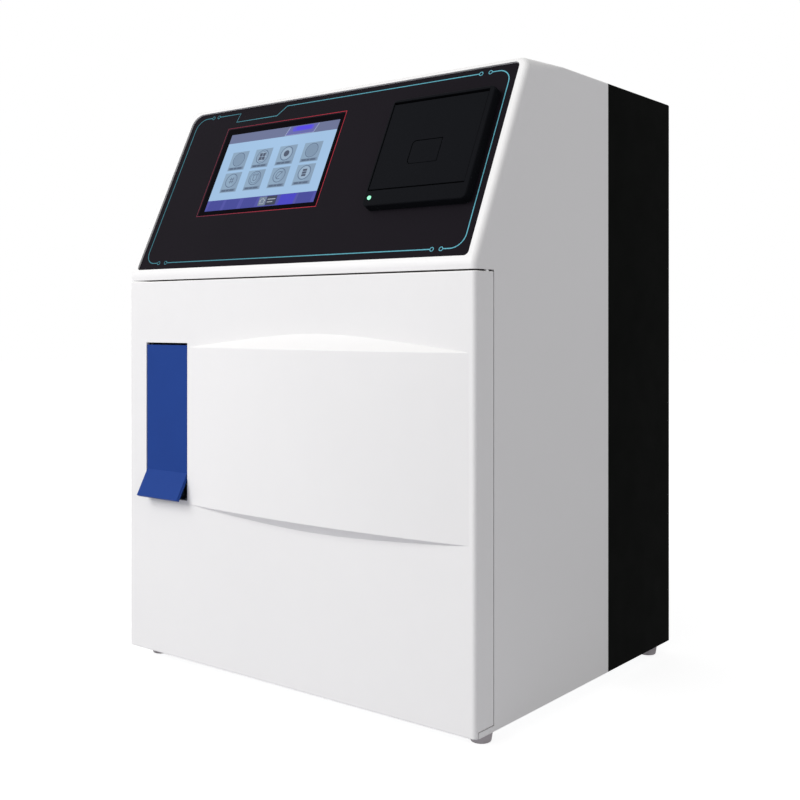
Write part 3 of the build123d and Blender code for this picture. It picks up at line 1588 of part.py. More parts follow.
# Mains inlet: flanged socket with three blades
with BuildPart() as power_inlet:
    with BuildSketch(facing_front(rear_y)):
        with Locations((inlet_x, inlet_z)):
            Rectangle(inlet_width - panel_clearance, inlet_body_height - panel_clearance)
    extrude(amount=inlet_depth)
    with BuildSketch(facing_front(rear_y + inlet_proud)):
        with Locations((inlet_x, inlet_z)):
            RectangleRounded(inlet_flange_width, inlet_flange_height, 3.0)
    extrude(amount=inlet_proud)
    with BuildSketch(facing_front(rear_y + inlet_proud)):
        with Locations((inlet_x, inlet_z)):
            Rectangle(inlet_width - 2 * inlet_wall, inlet_body_height - 2 * inlet_wall)
    extrude(amount=inlet_socket_depth, mode=Mode.SUBTRACT)
    socket_floor_y = rear_y + inlet_proud - inlet_socket_depth
    for offset_x, offset_z in ((-7.0, -2.0), (7.0, -2.0), (0.0, 2.0)):
        box_between(
            (inlet_x + offset_x - 1.0, socket_floor_y, inlet_z + offset_z - 2.0),
            (inlet_x + offset_x + 1.0, socket_floor_y + inlet_pin_length, inlet_z + offset_z + 2.0),
        )
power_inlet.part.label = "power_inlet"
export_step(power_inlet.part, "parts/power_inlet.step")

# Mains switch: framed body, and a rocker that tips on two stub pins
rocker_half_width = switch_width / 2 - switch_flange - rocker_gap
rocker_reach = sqrt(rocker_face_half**2 + (rocker_face + rocker_face_rise) ** 2)
rocker_y = rear_y - rocker_pivot_depth
cavity_half_width = rocker_half_width + rocker_gap
cavity_reach = rocker_reach + rocker_gap
pin_reach = cavity_half_width + rocker_pin_length

with BuildPart() as power_switch:
    with BuildSketch(facing_front(rear_y)):
        with Locations((switch_x, switch_z)):
            Rectangle(switch_width - panel_clearance, switch_body_height - panel_clearance)
    extrude(amount=switch_depth)
    with BuildSketch(facing_front(rear_y + switch_proud)):
        with Locations((switch_x, switch_z)):
            flange_width = switch_width + 2 * switch_flange
            flange_height = switch_body_height + 2 * switch_flange
            RectangleRounded(flange_width, flange_height, switch_flange)
    extrude(amount=switch_proud)
    box_between(
        (switch_x - cavity_half_width, rocker_y, switch_z - cavity_reach),
        (switch_x + cavity_half_width, rear_y + switch_proud, switch_z + cavity_reach),
        mode=Mode.SUBTRACT,
    )
    cylinder_along_x(
        rocker_y,
        switch_z,
        switch_x - cavity_half_width,
        switch_x + cavity_half_width,
        cavity_reach,
        mode=Mode.SUBTRACT,
    )
    cylinder_along_x(
        rocker_y,
        switch_z,
        switch_x - pin_reach,
        switch_x + pin_reach,
        rocker_pin_radius + running_clearance,
        mode=Mode.SUBTRACT,
    )
power_switch.part.label = "power_switch"
export_step(power_switch.part, "parts/power_switch.step")

rocker_plane = Plane(
    origin=(switch_x - rocker_half_width, rocker_y, switch_z),
    x_dir=(0, cos(radians(rocker_tilt)), sin(radians(rocker_tilt))),
    z_dir=(1, 0, 0),
)

with BuildPart() as switch_rocker:
    with BuildSketch(rocker_plane):
        with BuildLine():
            Polyline(
                (rocker_face + rocker_face_rise, rocker_face_half),
                (rocker_face, 0),
                (rocker_face + rocker_face_rise, -rocker_face_half),
                (-rocker_tail, -rocker_tail_half),
                (-rocker_tail, rocker_tail_half),
                close=True,
            )
        make_face()
    extrude(amount=2 * rocker_half_width)
    cylinder_along_x(
        rocker_y, switch_z, switch_x - pin_reach, switch_x + pin_reach, rocker_pin_radius
    )
switch_rocker.part.label = "switch_rocker"
export_step(switch_rocker.part, "parts/switch_rocker.step")

# Data port: shielded connector with a core inside its rim
with BuildPart() as data_port:
    with BuildSketch(facing_front(rear_y + port_proud)):
        with Locations((port_x, port_z)):
            Rectangle(port_width - panel_clearance, port_body_height - panel_clearance)
    extrude(amount=port_depth)
    with BuildSketch(facing_front(rear_y + port_proud)):
        with Locations((port_x, port_z)):
            rim_width = port_width - panel_clearance - 2 * port_rim
            rim_height = port_body_height - panel_clearance - 2 * port_rim
            Rectangle(rim_width, rim_height)
            Rectangle(rim_width - 2 * port_recess, rim_height - 2 * port_recess, mode=Mode.SUBTRACT)
    extrude(amount=port_recess_depth, mode=Mode.SUBTRACT)
data_port.part.label = "data_port"
export_step(data_port.part, "parts/data_port.step")
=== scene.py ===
import json
import math
from functools import cached_property

import bmesh
import bpy
from mathutils import Matrix, Vector


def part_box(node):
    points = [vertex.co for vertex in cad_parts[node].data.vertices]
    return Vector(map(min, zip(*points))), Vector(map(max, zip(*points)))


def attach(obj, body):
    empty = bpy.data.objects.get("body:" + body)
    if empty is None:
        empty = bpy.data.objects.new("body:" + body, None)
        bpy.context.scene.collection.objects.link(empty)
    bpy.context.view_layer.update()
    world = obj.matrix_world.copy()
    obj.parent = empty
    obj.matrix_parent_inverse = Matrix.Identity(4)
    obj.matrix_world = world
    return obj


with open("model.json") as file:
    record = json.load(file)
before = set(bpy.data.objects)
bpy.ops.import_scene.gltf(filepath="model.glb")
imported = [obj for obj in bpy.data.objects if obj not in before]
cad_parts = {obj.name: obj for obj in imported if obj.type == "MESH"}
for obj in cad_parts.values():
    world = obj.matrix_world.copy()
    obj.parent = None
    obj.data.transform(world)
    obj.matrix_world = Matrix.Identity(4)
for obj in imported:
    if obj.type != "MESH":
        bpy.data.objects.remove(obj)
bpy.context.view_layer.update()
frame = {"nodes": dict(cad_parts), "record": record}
scene = bpy.context.scene
scene.view_settings.view_transform = "Standard"

# The case as it stands: front plane, underside, and the tilt of the control face over its crease
case_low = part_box("front_housing")[0]
front_y, base_z = case_low.y, case_low.z
crease_height = 0.2775
face_setback, face_rise = 0.0606, 0.1295
tilt = math.atan2(face_setback, face_rise)

# Places on the control face are X, distance up the slope, and height above it
slope = Matrix(
    (
        (1, 0, 0, 0),
        (0, math.sin(tilt), -math.cos(tilt), front_y),
        (0, math.cos(tilt), math.sin(tilt), base_z + crease_height),
        (0, 0, 0, 1),
    )
)

# All print lies a little to the left and up, on the overlay or on the glass sunk in it
print_shift = (-0.0008, 0.0006, 0)
print_place = slope @ Matrix.Translation(print_shift)
overlay_top = -0.0012
glass_top = -0.0013
ink_thickness = 0.00004
patch_thickness = 0.00003


class Signal:
    """A shader socket that takes part in plain arithmetic."""

    def __init__(self, paint, link):
        self.paint = paint
        self.link = link

    def math(self, operation, *values):
        return self.paint.node("ShaderNodeMath", {"operation": operation}, dict(enumerate(values)))

    def __add__(self, other):
        return self.math("ADD", self, other)

    def __sub__(self, other):
        return self.math("SUBTRACT", self, other)

    def __rsub__(self, other):
        return self.math("SUBTRACT", other, self)

    def __mul__(self, other):
        return self.math("MULTIPLY", self, other)

    def __truediv__(self, other):
        return self.math("DIVIDE", self, other)

    def __gt__(self, other):
        return self.math("GREATER_THAN", self, other)

    def __lt__(self, other):
        return self.math("LESS_THAN", self, other)

    def __abs__(self):
        return self.math("ABSOLUTE", self)

    def power(self, other):
        return self.math("POWER", self, other)

    def fraction(self):
        return self.math("FRACT", self)

    def larger(self, other):
        return self.math("MAXIMUM", self, other)

    __radd__ = __add__
    __rmul__ = __mul__


class Paint:
    """The nodes of one finish, or of the world."""

    def __init__(self, owner, shader="Principled BSDF"):
        owner.use_nodes = True
        self.owner = owner
        self.tree = owner.node_tree
        self.shader = self.tree.nodes[shader]

    @cached_property
    def place(self):
        """The object's own coordinates."""
        return self.node("ShaderNodeTexCoord", output="Object")

    def node(self, kind, settings=None, inputs=None, output=0):
        """Add a node with its settings and inputs, and give one of its outputs."""
        made = self.tree.nodes.new(kind)
        for name, value in (settings or {}).items():
            setattr(made, name, value)
        self.feed(made, inputs or {})
        return Signal(self, made.outputs[output])

    def feed(self, made, inputs):
        """Set or link a node's inputs."""
        for key, value in inputs.items():
            if isinstance(value, Signal):
                self.tree.links.new(value.link, made.inputs[key])
            else:
                made.inputs[key].default_value = value

    def finish(self, inputs):
        """Feed the shader and give the finished material."""
        self.feed(self.shader, inputs)
        return self.owner

    def noise(self, scale, detail=2.0, stretch=None):
        """Soft random field from 0 to 1, which may be drawn out along an axis."""
        where = self.place
        if stretch:
            where = self.node("ShaderNodeMapping", inputs={"Vector": where, "Scale": stretch})
        inputs = {"Vector": where, "Scale": scale, "Detail": detail}
        return self.node("ShaderNodeTexNoise", inputs=inputs)

    def axes(self):
        """The three coordinates of a point, each on its own."""
        split = {"Vector": self.place}
        return [self.node("ShaderNodeSeparateXYZ", inputs=split, output=axis) for axis in "XYZ"]

    def mix(self, factor, first, second, blend="MIX"):
        """Blend of two colours."""
        settings = {"data_type": "RGBA", "blend_type": blend}
        return self.node("ShaderNodeMix", settings, {0: factor, 6: first, 7: second}, output=2)

    def spread(self, field, to_low=0.0, to_high=1.0, low=0.3, high=0.7):
        """A field's middle, or the range given, stretched to another range and held there."""
        inputs = {0: field, 1: low, 2: high, 3: to_low, 4: to_high}
        return self.node("ShaderNodeMapRange", {"clamp": True}, inputs)

    def bump(self, height, strength, distance=0.0001):
        """Surface relief from a height field."""
        inputs = {"Height": height, "Strength": strength, "Distance": distance}
        return self.node("ShaderNodeBump", inputs=inputs)


def new_paint(name):
    """Nodes of a new material."""
    return Paint(bpy.data.materials.new(name))


def tone(red, green, blue):
    """Scene colour of an 8 bit colour."""
    parts = [part / 255 for part in (red, green, blue)]
    linear = [p / 12.92 if p <= 0.04045 else ((p + 0.055) / 1.055) ** 2.4 for p in parts]
    return (*linear, 1.0)


def shaded(colour, factor):
    """A colour made lighter or darker."""
    return (*(min(1.0, part * factor) for part in colour[:3]), 1.0)


def middle(box):
    """Middle of a box given by its corners."""
    low, high = box
    return (low + high) / 2


def within(value, low, high):
    """1 where a value lies between two limits."""
    return (value > low) * (value < high)


def coated(name, colour, rough, grain, relief, drift, gloss=0.3):
    """Painted sheet or moulded plastic: fine grain, slow drift of shade, uneven gloss."""
    paint = new_paint(name)
    slow = paint.noise(9.0, 3.0)
    fine = paint.noise(grain, 3.0)
    blotch = paint.noise(60.0, 4.0)
    shade = paint.spread(slow * 0.7 + blotch * 0.3)
    uneven = blotch * 0.6 + fine * 0.4
    return paint.finish(
        {
            "Base Color": paint.mix(shade, shaded(colour, 1 - drift), shaded(colour, 1 + drift)),
            "Roughness": paint.spread(uneven, rough - 0.06, rough + 0.06),
            "Normal": paint.bump(fine, relief),
            "Specular IOR Level": gloss,
        }
    )


def drawn(paint, stretch=(1, 40, 1)):
    """Fine streaks of drawn or brushed metal."""
    return paint.noise(180.0, 4.0, stretch)


def metal(name, colour, rough, stretch=(1, 40, 1)):
    """Brushed or plated metal with drawn streaks and faint stains."""
    paint = new_paint(name)
    lines = drawn(paint, stretch)
    stain = paint.noise(40.0, 3.0)
    shade = paint.spread(lines * 0.6 + stain * 0.4)
    return paint.finish(
        {
            "Base Color": paint.mix(shade, shaded(colour, 0.86), shaded(colour, 1.08)),
            "Metallic": 1.0,
            "Roughness": paint.spread(lines, rough - 0.08, rough + 0.1),
            "Normal": paint.bump(lines, 0.08),
        }
    )


def clear(name, colour, rough=0.12, passing=0.85, haze=0.05):
    """Clear or milky moulded plastic."""
    paint = new_paint(name)
    swirl = paint.noise(35.0, 3.0)
    scuff = paint.noise(700.0)
    return paint.finish(
        {
            "Base Color": paint.mix(paint.spread(swirl), shaded(colour, 1 - haze), colour),
            "Roughness": paint.spread(scuff * 0.5 + swirl * 0.5, rough - 0.04, rough + 0.08),
            "Normal": paint.bump(scuff, 0.05),
            "Transmission Weight": passing,
            "IOR": 1.45,
        }
    )


def glowing(name, colour, level=1.0):
    """Lit picture on a screen, with a slight unevenness of the backlight."""
    paint = new_paint(name)
    cloud = paint.spread(paint.noise(14.0))
    return paint.finish(
        {
            "Base Color": (0.01, 0.01, 0.012, 1),
            "Emission Color": paint.mix(cloud, shaded(colour, 0.96), shaded(colour, 1.04)),
            "Emission Strength": level,
            "Roughness": paint.spread(paint.noise(300.0), 0.25, 0.32),
            "Specular IOR Level": 0.02,
        }
    )


def tinted(name, first, second, low, high):
    """Screen-printed ink, or a flat patch of painted shade, whose colour runs along X, a little
    uneven in cover.
    """
    paint = new_paint(name)
    along = paint.spread(paint.axes()[0], low=low, high=high)
    cover = paint.spread(paint.noise(1500.0), 0.86, 1.06, 0.35, 0.6)
    grey = paint.node("ShaderNodeCombineColor", inputs=dict.fromkeys(range(3), cover))
    return paint.finish(
        {
            "Base Color": paint.mix(1.0, paint.mix(along, first, second), grey, "MULTIPLY"),
            "Roughness": paint.spread(paint.noise(400.0), 0.42, 0.58),
            "Normal": paint.bump(paint.noise(1200.0), 0.05, 0.00005),
            "Specular IOR Level": 0.03,
        }
    )


def circuit(name):
    """Green solder mask with copper runs, and rows of tinned pads."""
    paint = new_paint(name)
    x, _, z = paint.axes()
    runs_per_metre, run_half = 420.0, 0.14
    columns_per_metre, pad_half_width = 390.0, 0.2
    rows_per_metre, pad_half_height = 60.0, 0.035
    cells = paint.noise(70.0, 1.0)
    upright = abs((x * runs_per_metre).fraction() - 0.5) < run_half
    level = abs((z * runs_per_metre).fraction() - 0.5) < run_half
    runs = upright * (cells > 0.52) + level * (cells < 0.46)
    in_column = abs((x * columns_per_metre).fraction() - 0.5) < pad_half_width
    pads = in_column * (abs((z * rows_per_metre).fraction() - 0.5) < pad_half_height)
    green = paint.mix(runs, tone(14, 78, 48), tone(34, 118, 74))
    return paint.finish(
        {
            "Base Color": paint.mix(pads, green, tone(206, 204, 190)),
            "Metallic": pads * 0.9,
            "Roughness": paint.spread(paint.noise(500.0), 0.28, 0.4),
            "Normal": paint.bump(runs + pads, 0.2, 0.00005),
        }
    )


def punched(name, colour, pitch, radius_squared):
    """Sheet metal with rows of round vent holes, whose radius is in parts of the pitch; the holes
    are painted near-black as painted shade of the dark inside seen through them.
    """
    paint = new_paint(name)
    x, y, _ = paint.axes()
    across = (x / pitch).fraction() - 0.5
    along = (y / pitch).fraction() - 0.5
    # Round holes, near-black and not metal: painted shade where the sheet would be open
    hole_shade = (across * across + along * along) < radius_squared
    lines = drawn(paint)
    sheet = paint.mix(paint.spread(lines), shaded(colour, 0.88), shaded(colour, 1.06))
    return paint.finish(
        {
            "Base Color": paint.mix(hole_shade, sheet, (0.01, 0.01, 0.01, 1)),
            "Metallic": 1.0 - hole_shade,
            "Roughness": paint.spread(lines, 0.27, 0.44),
            "Normal": paint.bump(1.0 - hole_shade, 0.5, 0.0003),
        }
    )


def wound(name, node, colour):
    """Paper wound on a roll: fine rings on its ends, and a soft sheet round it."""
    low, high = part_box(node)
    axle = middle((low, high))
    paint = new_paint(name)
    x, y, z = paint.axes()
    sheets_per_metre, end_depth = 3300.0, 0.0003
    up = z - axle.z
    back = y - axle.y
    reach = (up * up + back * back).power(0.5)
    ring = abs((reach * sheets_per_metre).fraction() - 0.5) * 2.0
    end_face = (abs(x - axle.x) > (high.x - low.x) / 2 - end_depth) * ring
    return paint.finish(
        {
            "Base Color": paint.mix(end_face * 0.5, colour, shaded(colour, 0.72)),
            "Roughness": paint.spread(paint.noise(900.0, 3.0), 0.78, 0.92),
            "Normal": paint.bump(paint.noise(1600.0, 3.0) + end_face, 0.25),
            "Specular IOR Level": 0.15,
        }
    )


def socketed(name, node):
    """Plated connector shell, near-black and not metal from a little inside its face: a dark
    insulator, and painted shade on the shell's inner walls.
    """
    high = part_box(node)[1]
    paint = new_paint(name)
    _, y, _ = paint.axes()
    shell_depth = 0.0012
    # Deeper than the shell's lip all is near-black: insulator, and painted shade on the inner
    # walls
    inside = y < high.y - shell_depth
    lines = drawn(paint)
    shell = paint.mix(paint.spread(lines), (0.46, 0.46, 0.47, 1), (0.60, 0.60, 0.61, 1))
    return paint.finish(
        {
            "Base Color": paint.mix(inside, shell, (0.012, 0.012, 0.014, 1)),
            "Metallic": 1.0 - inside,
            "Roughness": paint.spread(lines, 0.26, 0.4),
            "Normal": paint.bump(lines, 0.08),
        }
    )


def banded(node, band):
    """Clear electrode body with a coloured code band under its top, and fine moulding haze."""
    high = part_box(node)[1]
    paint = new_paint(node)
    _, _, z = paint.axes()
    band_foot, band_head = 0.013, 0.006
    coded = within(z, high.z - band_foot, high.z - band_head)
    haze = paint.spread(paint.noise(60.0, 3.0))
    body = paint.mix(haze, (0.72, 0.80, 0.84, 1), (0.88, 0.93, 0.95, 1))
    return paint.finish(
        {
            "Base Color": paint.mix(coded, body, band),
            "Roughness": paint.spread(paint.noise(700.0), 0.1, 0.2) + coded * 0.25,
            "Normal": paint.bump(paint.noise(700.0), 0.05),
            "Transmission Weight": 0.7,
            "IOR": 1.45,
        }
    )


def carton(name, node):
    """White carton with a plain printed panel, a rule over it, and fold lines near its edges,
    darkened in colour as painted shade in the creases besides their bump.
    """
    low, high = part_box(node)
    paint = new_paint(name)
    x, y, z = paint.axes()
    print_inset, front_depth = 0.014, 0.001
    panel_low, panel_high = 0.030, 0.078
    rule_low, rule_high = 0.082, 0.0835
    fold_inset, fold_half = 0.006, 0.0004
    fibre = paint.noise(420.0, 4.0)
    front = y < low.y + front_depth
    beside = front * within(x, low.x + print_inset, high.x - print_inset)
    panel = beside * within(z, low.z + panel_low, low.z + panel_high)
    rule = beside * within(z, low.z + rule_low, low.z + rule_high)
    # Fold lines near both side edges, darkened below as painted shade in the creases
    left_fold = abs(x - low.x - fold_inset) < fold_half
    fold = left_fold.larger(abs(x - high.x + fold_inset) < fold_half)
    board = paint.mix(paint.spread(fibre), tone(222, 224, 227), tone(230, 232, 235))
    printed_board = paint.mix(panel.larger(rule), board, tone(120, 168, 205))
    return paint.finish(
        {
            "Base Color": paint.mix(fold * 0.35, printed_board, tone(150, 152, 156)),
            "Roughness": paint.spread(fibre, 0.5, 0.66) - panel * 0.15,
            "Normal": paint.bump(fibre * 0.3 - fold, 0.25, 0.0002),
            "Specular IOR Level": 0.25,
        }
    )


# Painted and moulded finishes: colour, roughness, grain, relief, drift of shade, gloss
coats = {
    "white_shell": (tone(237, 236, 235), 0.38, 1400.0, 0.10, 0.01, 0.25),
    "black_shell": (tone(5, 6, 5), 0.55, 1100.0, 0.35, 0.30, 0.007),
    "panel_black": (tone(26, 23, 28), 0.5, 1500.0, 0.10, 0.08, 0.012),
    "touch_glass": (tone(7, 5, 10), 0.16, 300.0, 0.02, 0.15, 0.01),
    "display": (tone(40, 42, 48), 0.4, 600.0, 0.2, 0.1),
    "printer_black": (tone(19, 20, 23), 0.55, 1300.0, 0.25, 0.10, 0.009),
    "lever_blue": (tone(36, 66, 137), 0.42, 1300.0, 0.10, 0.05, 0.03),
    "foot_rubber": (tone(196, 190, 192), 0.75, 900.0, 0.4, 0.10, 0.1),
    "magnet": (tone(52, 48, 46), 0.6, 700.0, 0.4, 0.12),
    "holder_grey": (tone(176, 178, 182), 0.45, 900.0, 0.2, 0.03),
    "pump_dark": (tone(48, 52, 58), 0.45, 900.0, 0.25, 0.08),
    "platen_rubber": (tone(38, 38, 40), 0.8, 1500.0, 0.4, 0.08),
    "clamp_blue": (tone(46, 96, 170), 0.4, 1100.0, 0.2, 0.05),
    "fan_black": (tone(20, 20, 22), 0.55, 1000.0, 0.3, 0.1, 0.15),
}
finishes = {name: coated(name, *row) for name, row in coats.items()}
finishes |= {
    "steel": metal("steel", (0.52, 0.52, 0.53, 1), 0.28),
    "chassis": metal("chassis", (0.50, 0.51, 0.52, 1), 0.42, (40, 1, 1)),
    "clear_plastic": clear("clear_plastic", (0.86, 0.92, 0.95, 1)),
    "tube_clear": clear("tube_clear", (0.80, 0.80, 0.74, 1), 0.32, 0.12, 0.03),
    "pack_white": carton("pack_white", "reagent_pack"),
    "board_green": circuit("board_green"),
    "paper": wound("paper", "paper_roll", tone(240, 238, 232)),
    "led_green": glowing("led_green", tone(158, 255, 205), 1.3),
}

# Pieces with a finish of their own: a coat as above, with its name, or another material
own_coats = {
    "rear_panel": ("panel_powder_coat", tone(52, 54, 57), 0.62, 1500.0, 0.6, 0.10),
    "switch_rocker": ("rocker_black", tone(30, 30, 32), 0.35, 900.0, 0.15, 0.10, 0.4),
    "power_inlet": ("inlet_black", tone(26, 26, 28), 0.4, 900.0, 0.2, 0.10, 0.4),
    "power_switch": ("switch_black", tone(22, 22, 24), 0.4, 900.0, 0.2, 0.10, 0.4),
    "pump_roller_1": ("roller_white", tone(214, 216, 214), 0.35, 900.0, 0.15, 0.03),
    "print_head": ("print_head", tone(196, 180, 150), 0.35, 900.0, 0.1, 0.05),
}
code_bands = {
    "potassium_electrode": tone(150, 84, 160),
    "sodium_electrode": tone(226, 160, 50),
    "chloride_electrode": tone(70, 160, 92),
    "calcium_electrode": tone(60, 120, 190),
    "reference_electrode": tone(120, 124, 130),
}
own_finishes = {node: coated(*row) for node, row in own_coats.items()}
own_finishes |= {node: banded(node, band) for node, band in code_bands.items()}
own_finishes |= {
    "power_supply": punched("power_supply", (0.62, 0.63, 0.64, 1), 0.0042, 0.05),
    "rinse_cup": clear("rinse_cup", (0.80, 0.88, 0.94, 1), 0.14, 0.6),
    "data_port": socketed("data_port", "data_port"),
    "pump_roller_2": own_finishes["pump_roller_1"],
    "pump_roller_3": own_finishes["pump_roller_1"],
}

# Each CAD node gets its own finish, or else that of its material slot
for part in frame["record"]["subparts"]:
    mesh = frame["nodes"][part["node"]].data
    mesh.materials.clear()
    mesh.materials.append(own_finishes.get(part["node"]) or finishes[part["material_slot"]])


def add_piece(name, shape, finish, body="case"):
    """Turn a finished bmesh into a piece of the unit."""
    bmesh.ops.recalc_face_normals(shape, faces=shape.faces)
    mesh = bpy.data.meshes.new(name)
    shape.to_mesh(mesh)
    shape.free()
    mesh.materials.append(finish)
    made = bpy.data.objects.new(name, mesh)
    scene.collection.objects.link(made)
    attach(made, body)


def add_patch(shape, outline, level=0.0, thickness=patch_thickness, place=print_place):
    """Add a thin flat area with a given outline to a bmesh."""
    face = shape.faces.new([shape.verts.new((x, y, level)) for x, y in outline])
    raised = bmesh.ops.extrude_face_region(shape, geom=[face])["geom"]
    upper = [v for v in raised if isinstance(v, bmesh.types.BMVert)]
    bmesh.ops.translate(shape, verts=upper, vec=(0, 0, thickness))
    bmesh.ops.transform(shape, matrix=place, verts=upper + list(face.verts))


def add_line(
    shape, points, width, level, closed=False, thickness=ink_thickness, place=print_place
):
    """Add a thin printed line along points to a bmesh."""
    curve = bpy.data.curves.new("line", "CURVE")
    curve.dimensions = "3D"
    curve.bevel_depth = width / 2
    curve.bevel_resolution = 1
    curve.use_fill_caps = True
    spline = curve.splines.new("POLY")
    spline.points.add(len(points) - 1)
    for point, (x, y) in zip(spline.points, points):
        point.co = (x, y, 0, 1)
    spline.use_cyclic_u = closed
    holder = bpy.data.objects.new("line", curve)
    mesh = bpy.data.meshes.new_from_object(holder)
    flat = Matrix.Diagonal((1, 1, thickness / width, 1))
    mesh.transform(place @ Matrix.Translation((0, 0, level)) @ flat)
    shape.from_mesh(mesh)
    bpy.data.meshes.remove(mesh)
    bpy.data.objects.remove(holder)
    bpy.data.curves.remove(curve)


def arc(centre, radius, start, end, steps=8):
    """Points along an arc, with its ends given in degrees."""
    angles = [math.radians(start + (end - start) * i / steps) for i in range(steps + 1)]
    return [(centre[0] + radius * math.cos(a), centre[1] + radius * math.sin(a)) for a in angles]


def circle(centre, radius, steps=24):
    """Points round a circle."""
    return arc(centre, radius, 0, 360 - 360 / steps, steps - 1)


def block(left, low, right, high, lean=0.0):
    """Outline of a rectangle, whose top may lean to the right."""
    return [(left, low), (right, low), (right + lean, high), (left + lean, high)]


def rounded(left, low, right, high, radius):
    """Outline of a rectangle with round corners."""
    corners = (
        (right - radius, low + radius, -90),
        (right - radius, high - radius, 0),
        (left + radius, high - radius, 90),
        (left + radius, low + radius, 180),
    )
    return [p for x, y, turn in corners for p in arc((x, y), radius, turn, turn + 90, 6)]


def plus(arm, half):
    """Outline of a cross with arms of one length and half width."""
    corner = [(half, -arm), (half, -half), (arm, -half)]
    outline = []
    for _ in range(4):
        outline += corner
        corner = [(-y, x) for x, y in corner]
    return outline


def about(centre, points):
    """Points given from a centre, moved there."""
    return [(centre[0] + x, centre[1] + y) for x, y in points]


def facing(side, place, lean=0.0):
    """Where a flat shape goes on a wall that faces the front (-1) or the rear (1) and may lean."""
    x, y, z = place
    return Matrix(
        (
            (-side, 0, 0, x),
            (0, -math.sin(lean), side * math.cos(lean), y),
            (0, math.cos(lean), side * math.sin(lean), z),
            (0, 0, 0, 1),
        )
    )


# Printed border of the control face: four lines that end in small rings
border_left, border_right = -0.1440, 0.1452
border_low, border_high = 0.0086, 0.1353
corner_radius = 0.0095
line_width = 0.0008
ring_radius, ring_width = 0.0013, 0.0006
ring_steps = 16
top_left_rings = (-0.1277, -0.1218)
top_right_rings = (0.1220, 0.1292)
low_left_rings = (-0.1286, -0.1209)
low_right_rings = (0.1224, 0.1293)
left_x, right_x = border_left + corner_radius, border_right - corner_radius
low_y, high_y = border_low + corner_radius, border_high - corner_radius
left_path = (
    [(low_left_rings[0] - ring_radius, border_low)]
    + arc((left_x, low_y), corner_radius, 270, 180)
    + arc((left_x, high_y), corner_radius, 180, 90)
    + [(top_left_rings[0] - ring_radius, border_high)]
)
right_path = (
    [(top_right_rings[1] + ring_radius, border_high)]
    + arc((right_x, high_y), corner_radius, 90, 0)
    + arc((right_x, low_y), corner_radius, 0, -90)
    + [(low_right_rings[1] + ring_radius, border_low)]
)
dip_height = 0.1279
top_path = [
    (top_left_rings[1] + ring_radius, border_high),
    (-0.0975, border_high),
    (-0.0990, dip_height),
    (-0.0566, dip_height),
    (-0.0488, border_high),
    (top_right_rings[0] - ring_radius, border_high),
]
low_path = [
    (low_left_rings[1] + ring_radius, border_low),
    (low_right_rings[0] - ring_radius, border_low),
]
rings = [(x, border_high) for x in top_left_rings + top_right_rings]
rings += [(x, border_low) for x in low_left_rings + low_right_rings]
border = bmesh.new()
for ring in rings:
    add_line(border, circle(ring, ring_radius, ring_steps), ring_width, overlay_top, True)
for path in (left_path, right_path, top_path, low_path):
    add_line(border, path, line_width, overlay_top)
teal = tinted("printed_teal", tone(66, 122, 134), tone(104, 180, 196), -0.15, 0.12)
add_piece("fascia_border_line", border, teal)

# Thin red frame round the screen
red_frame = bmesh.new()
red_outline = block(-0.1052, 0.0463, 0.0136, 0.1224)
add_line(red_frame, red_outline, line_width, overlay_top, True)
red = tinted("printed_red", tone(118, 48, 66), tone(178, 50, 66), -0.105, 0.014)
add_piece("screen_red_frame", red_frame, red)


def add_picture(name, layer, colour, outlines=(), strokes=()):
    """One lit layer of the screen's picture, of flat outlines or of lines with their widths."""
    layer_step, layer_thickness = 0.00003, 0.000024
    level = glass_top + layer * layer_step
    shape = bmesh.new()
    for outline in outlines:
        add_patch(shape, outline, level, layer_thickness)
    for points, width, closed in strokes:
        add_line(shape, points, width, level, closed, layer_thickness)
    add_piece(name, shape, glowing(name, colour))


# Field of the screen with the bars over and under it
field_left, field_right = -0.0984, 0.0098
field_low, field_high = 0.0501, 0.1161
bar_low, bar_high = 0.0588, 0.1081
field = block(field_left, bar_low, field_right, bar_high)
top_bar = block(field_left, bar_high, field_right, field_high)
low_bar = block(field_left, field_low, field_right, bar_low)
add_picture("screen_field", 0, tone(160, 193, 226), [field])
add_picture("screen_top_bar", 0, tone(106, 114, 148), [top_bar])
add_picture("screen_low_bar", 0, tone(78, 80, 162), [low_bar])

# Cells of the low bar
cell_width, cell_lean, cell_head = 0.0140, 0.0012, bar_low - 0.0004
low_cells = [
    block(left, field_low, left + cell_width, cell_head, cell_lean)
    for left in (-0.0965, -0.0795, -0.0615, -0.0075)
]
bright_cell = block(-0.0245, field_low, -0.0098, cell_head, cell_lean)
add_picture("screen_low_cells", 1, tone(66, 70, 150), low_cells)
add_picture("screen_bright_cell", 1, tone(68, 64, 192), [bright_cell])

# Tab in the top bar, with a pale edge and a button that glows
thin, fine, bold = 0.0006, 0.0004, 0.0007
tab_left, tab_right = -0.0404, -0.0126
tab_foot, tab_head = bar_high + 0.0004, field_high - 0.0003
tab_edges = (
    ([(tab_left, tab_foot), (-0.0372, tab_head)], thin, False),
    ([(tab_right, tab_foot), (-0.0096, tab_head)], thin, False),
    ([(tab_left, tab_foot), (tab_right, tab_foot)], fine, False),
)
tab_fill = block(-0.0400, bar_high + 0.0005, -0.0130, tab_head, 0.0030)
tab_glow = rounded(-0.0345, 0.1112, -0.0140, 0.1154, 0.0020)
tab_button = rounded(-0.0310, 0.1121, -0.0160, 0.1151, 0.0014)
add_picture("screen_tab_edges", 3, tone(158, 168, 200), strokes=tab_edges)
add_picture("screen_tab_fill", 1, tone(102, 104, 168), [tab_fill])
add_picture("screen_tab_glow", 2, tone(92, 84, 208), [tab_glow])
add_picture("screen_tab", 3, tone(84, 70, 228), [tab_button])

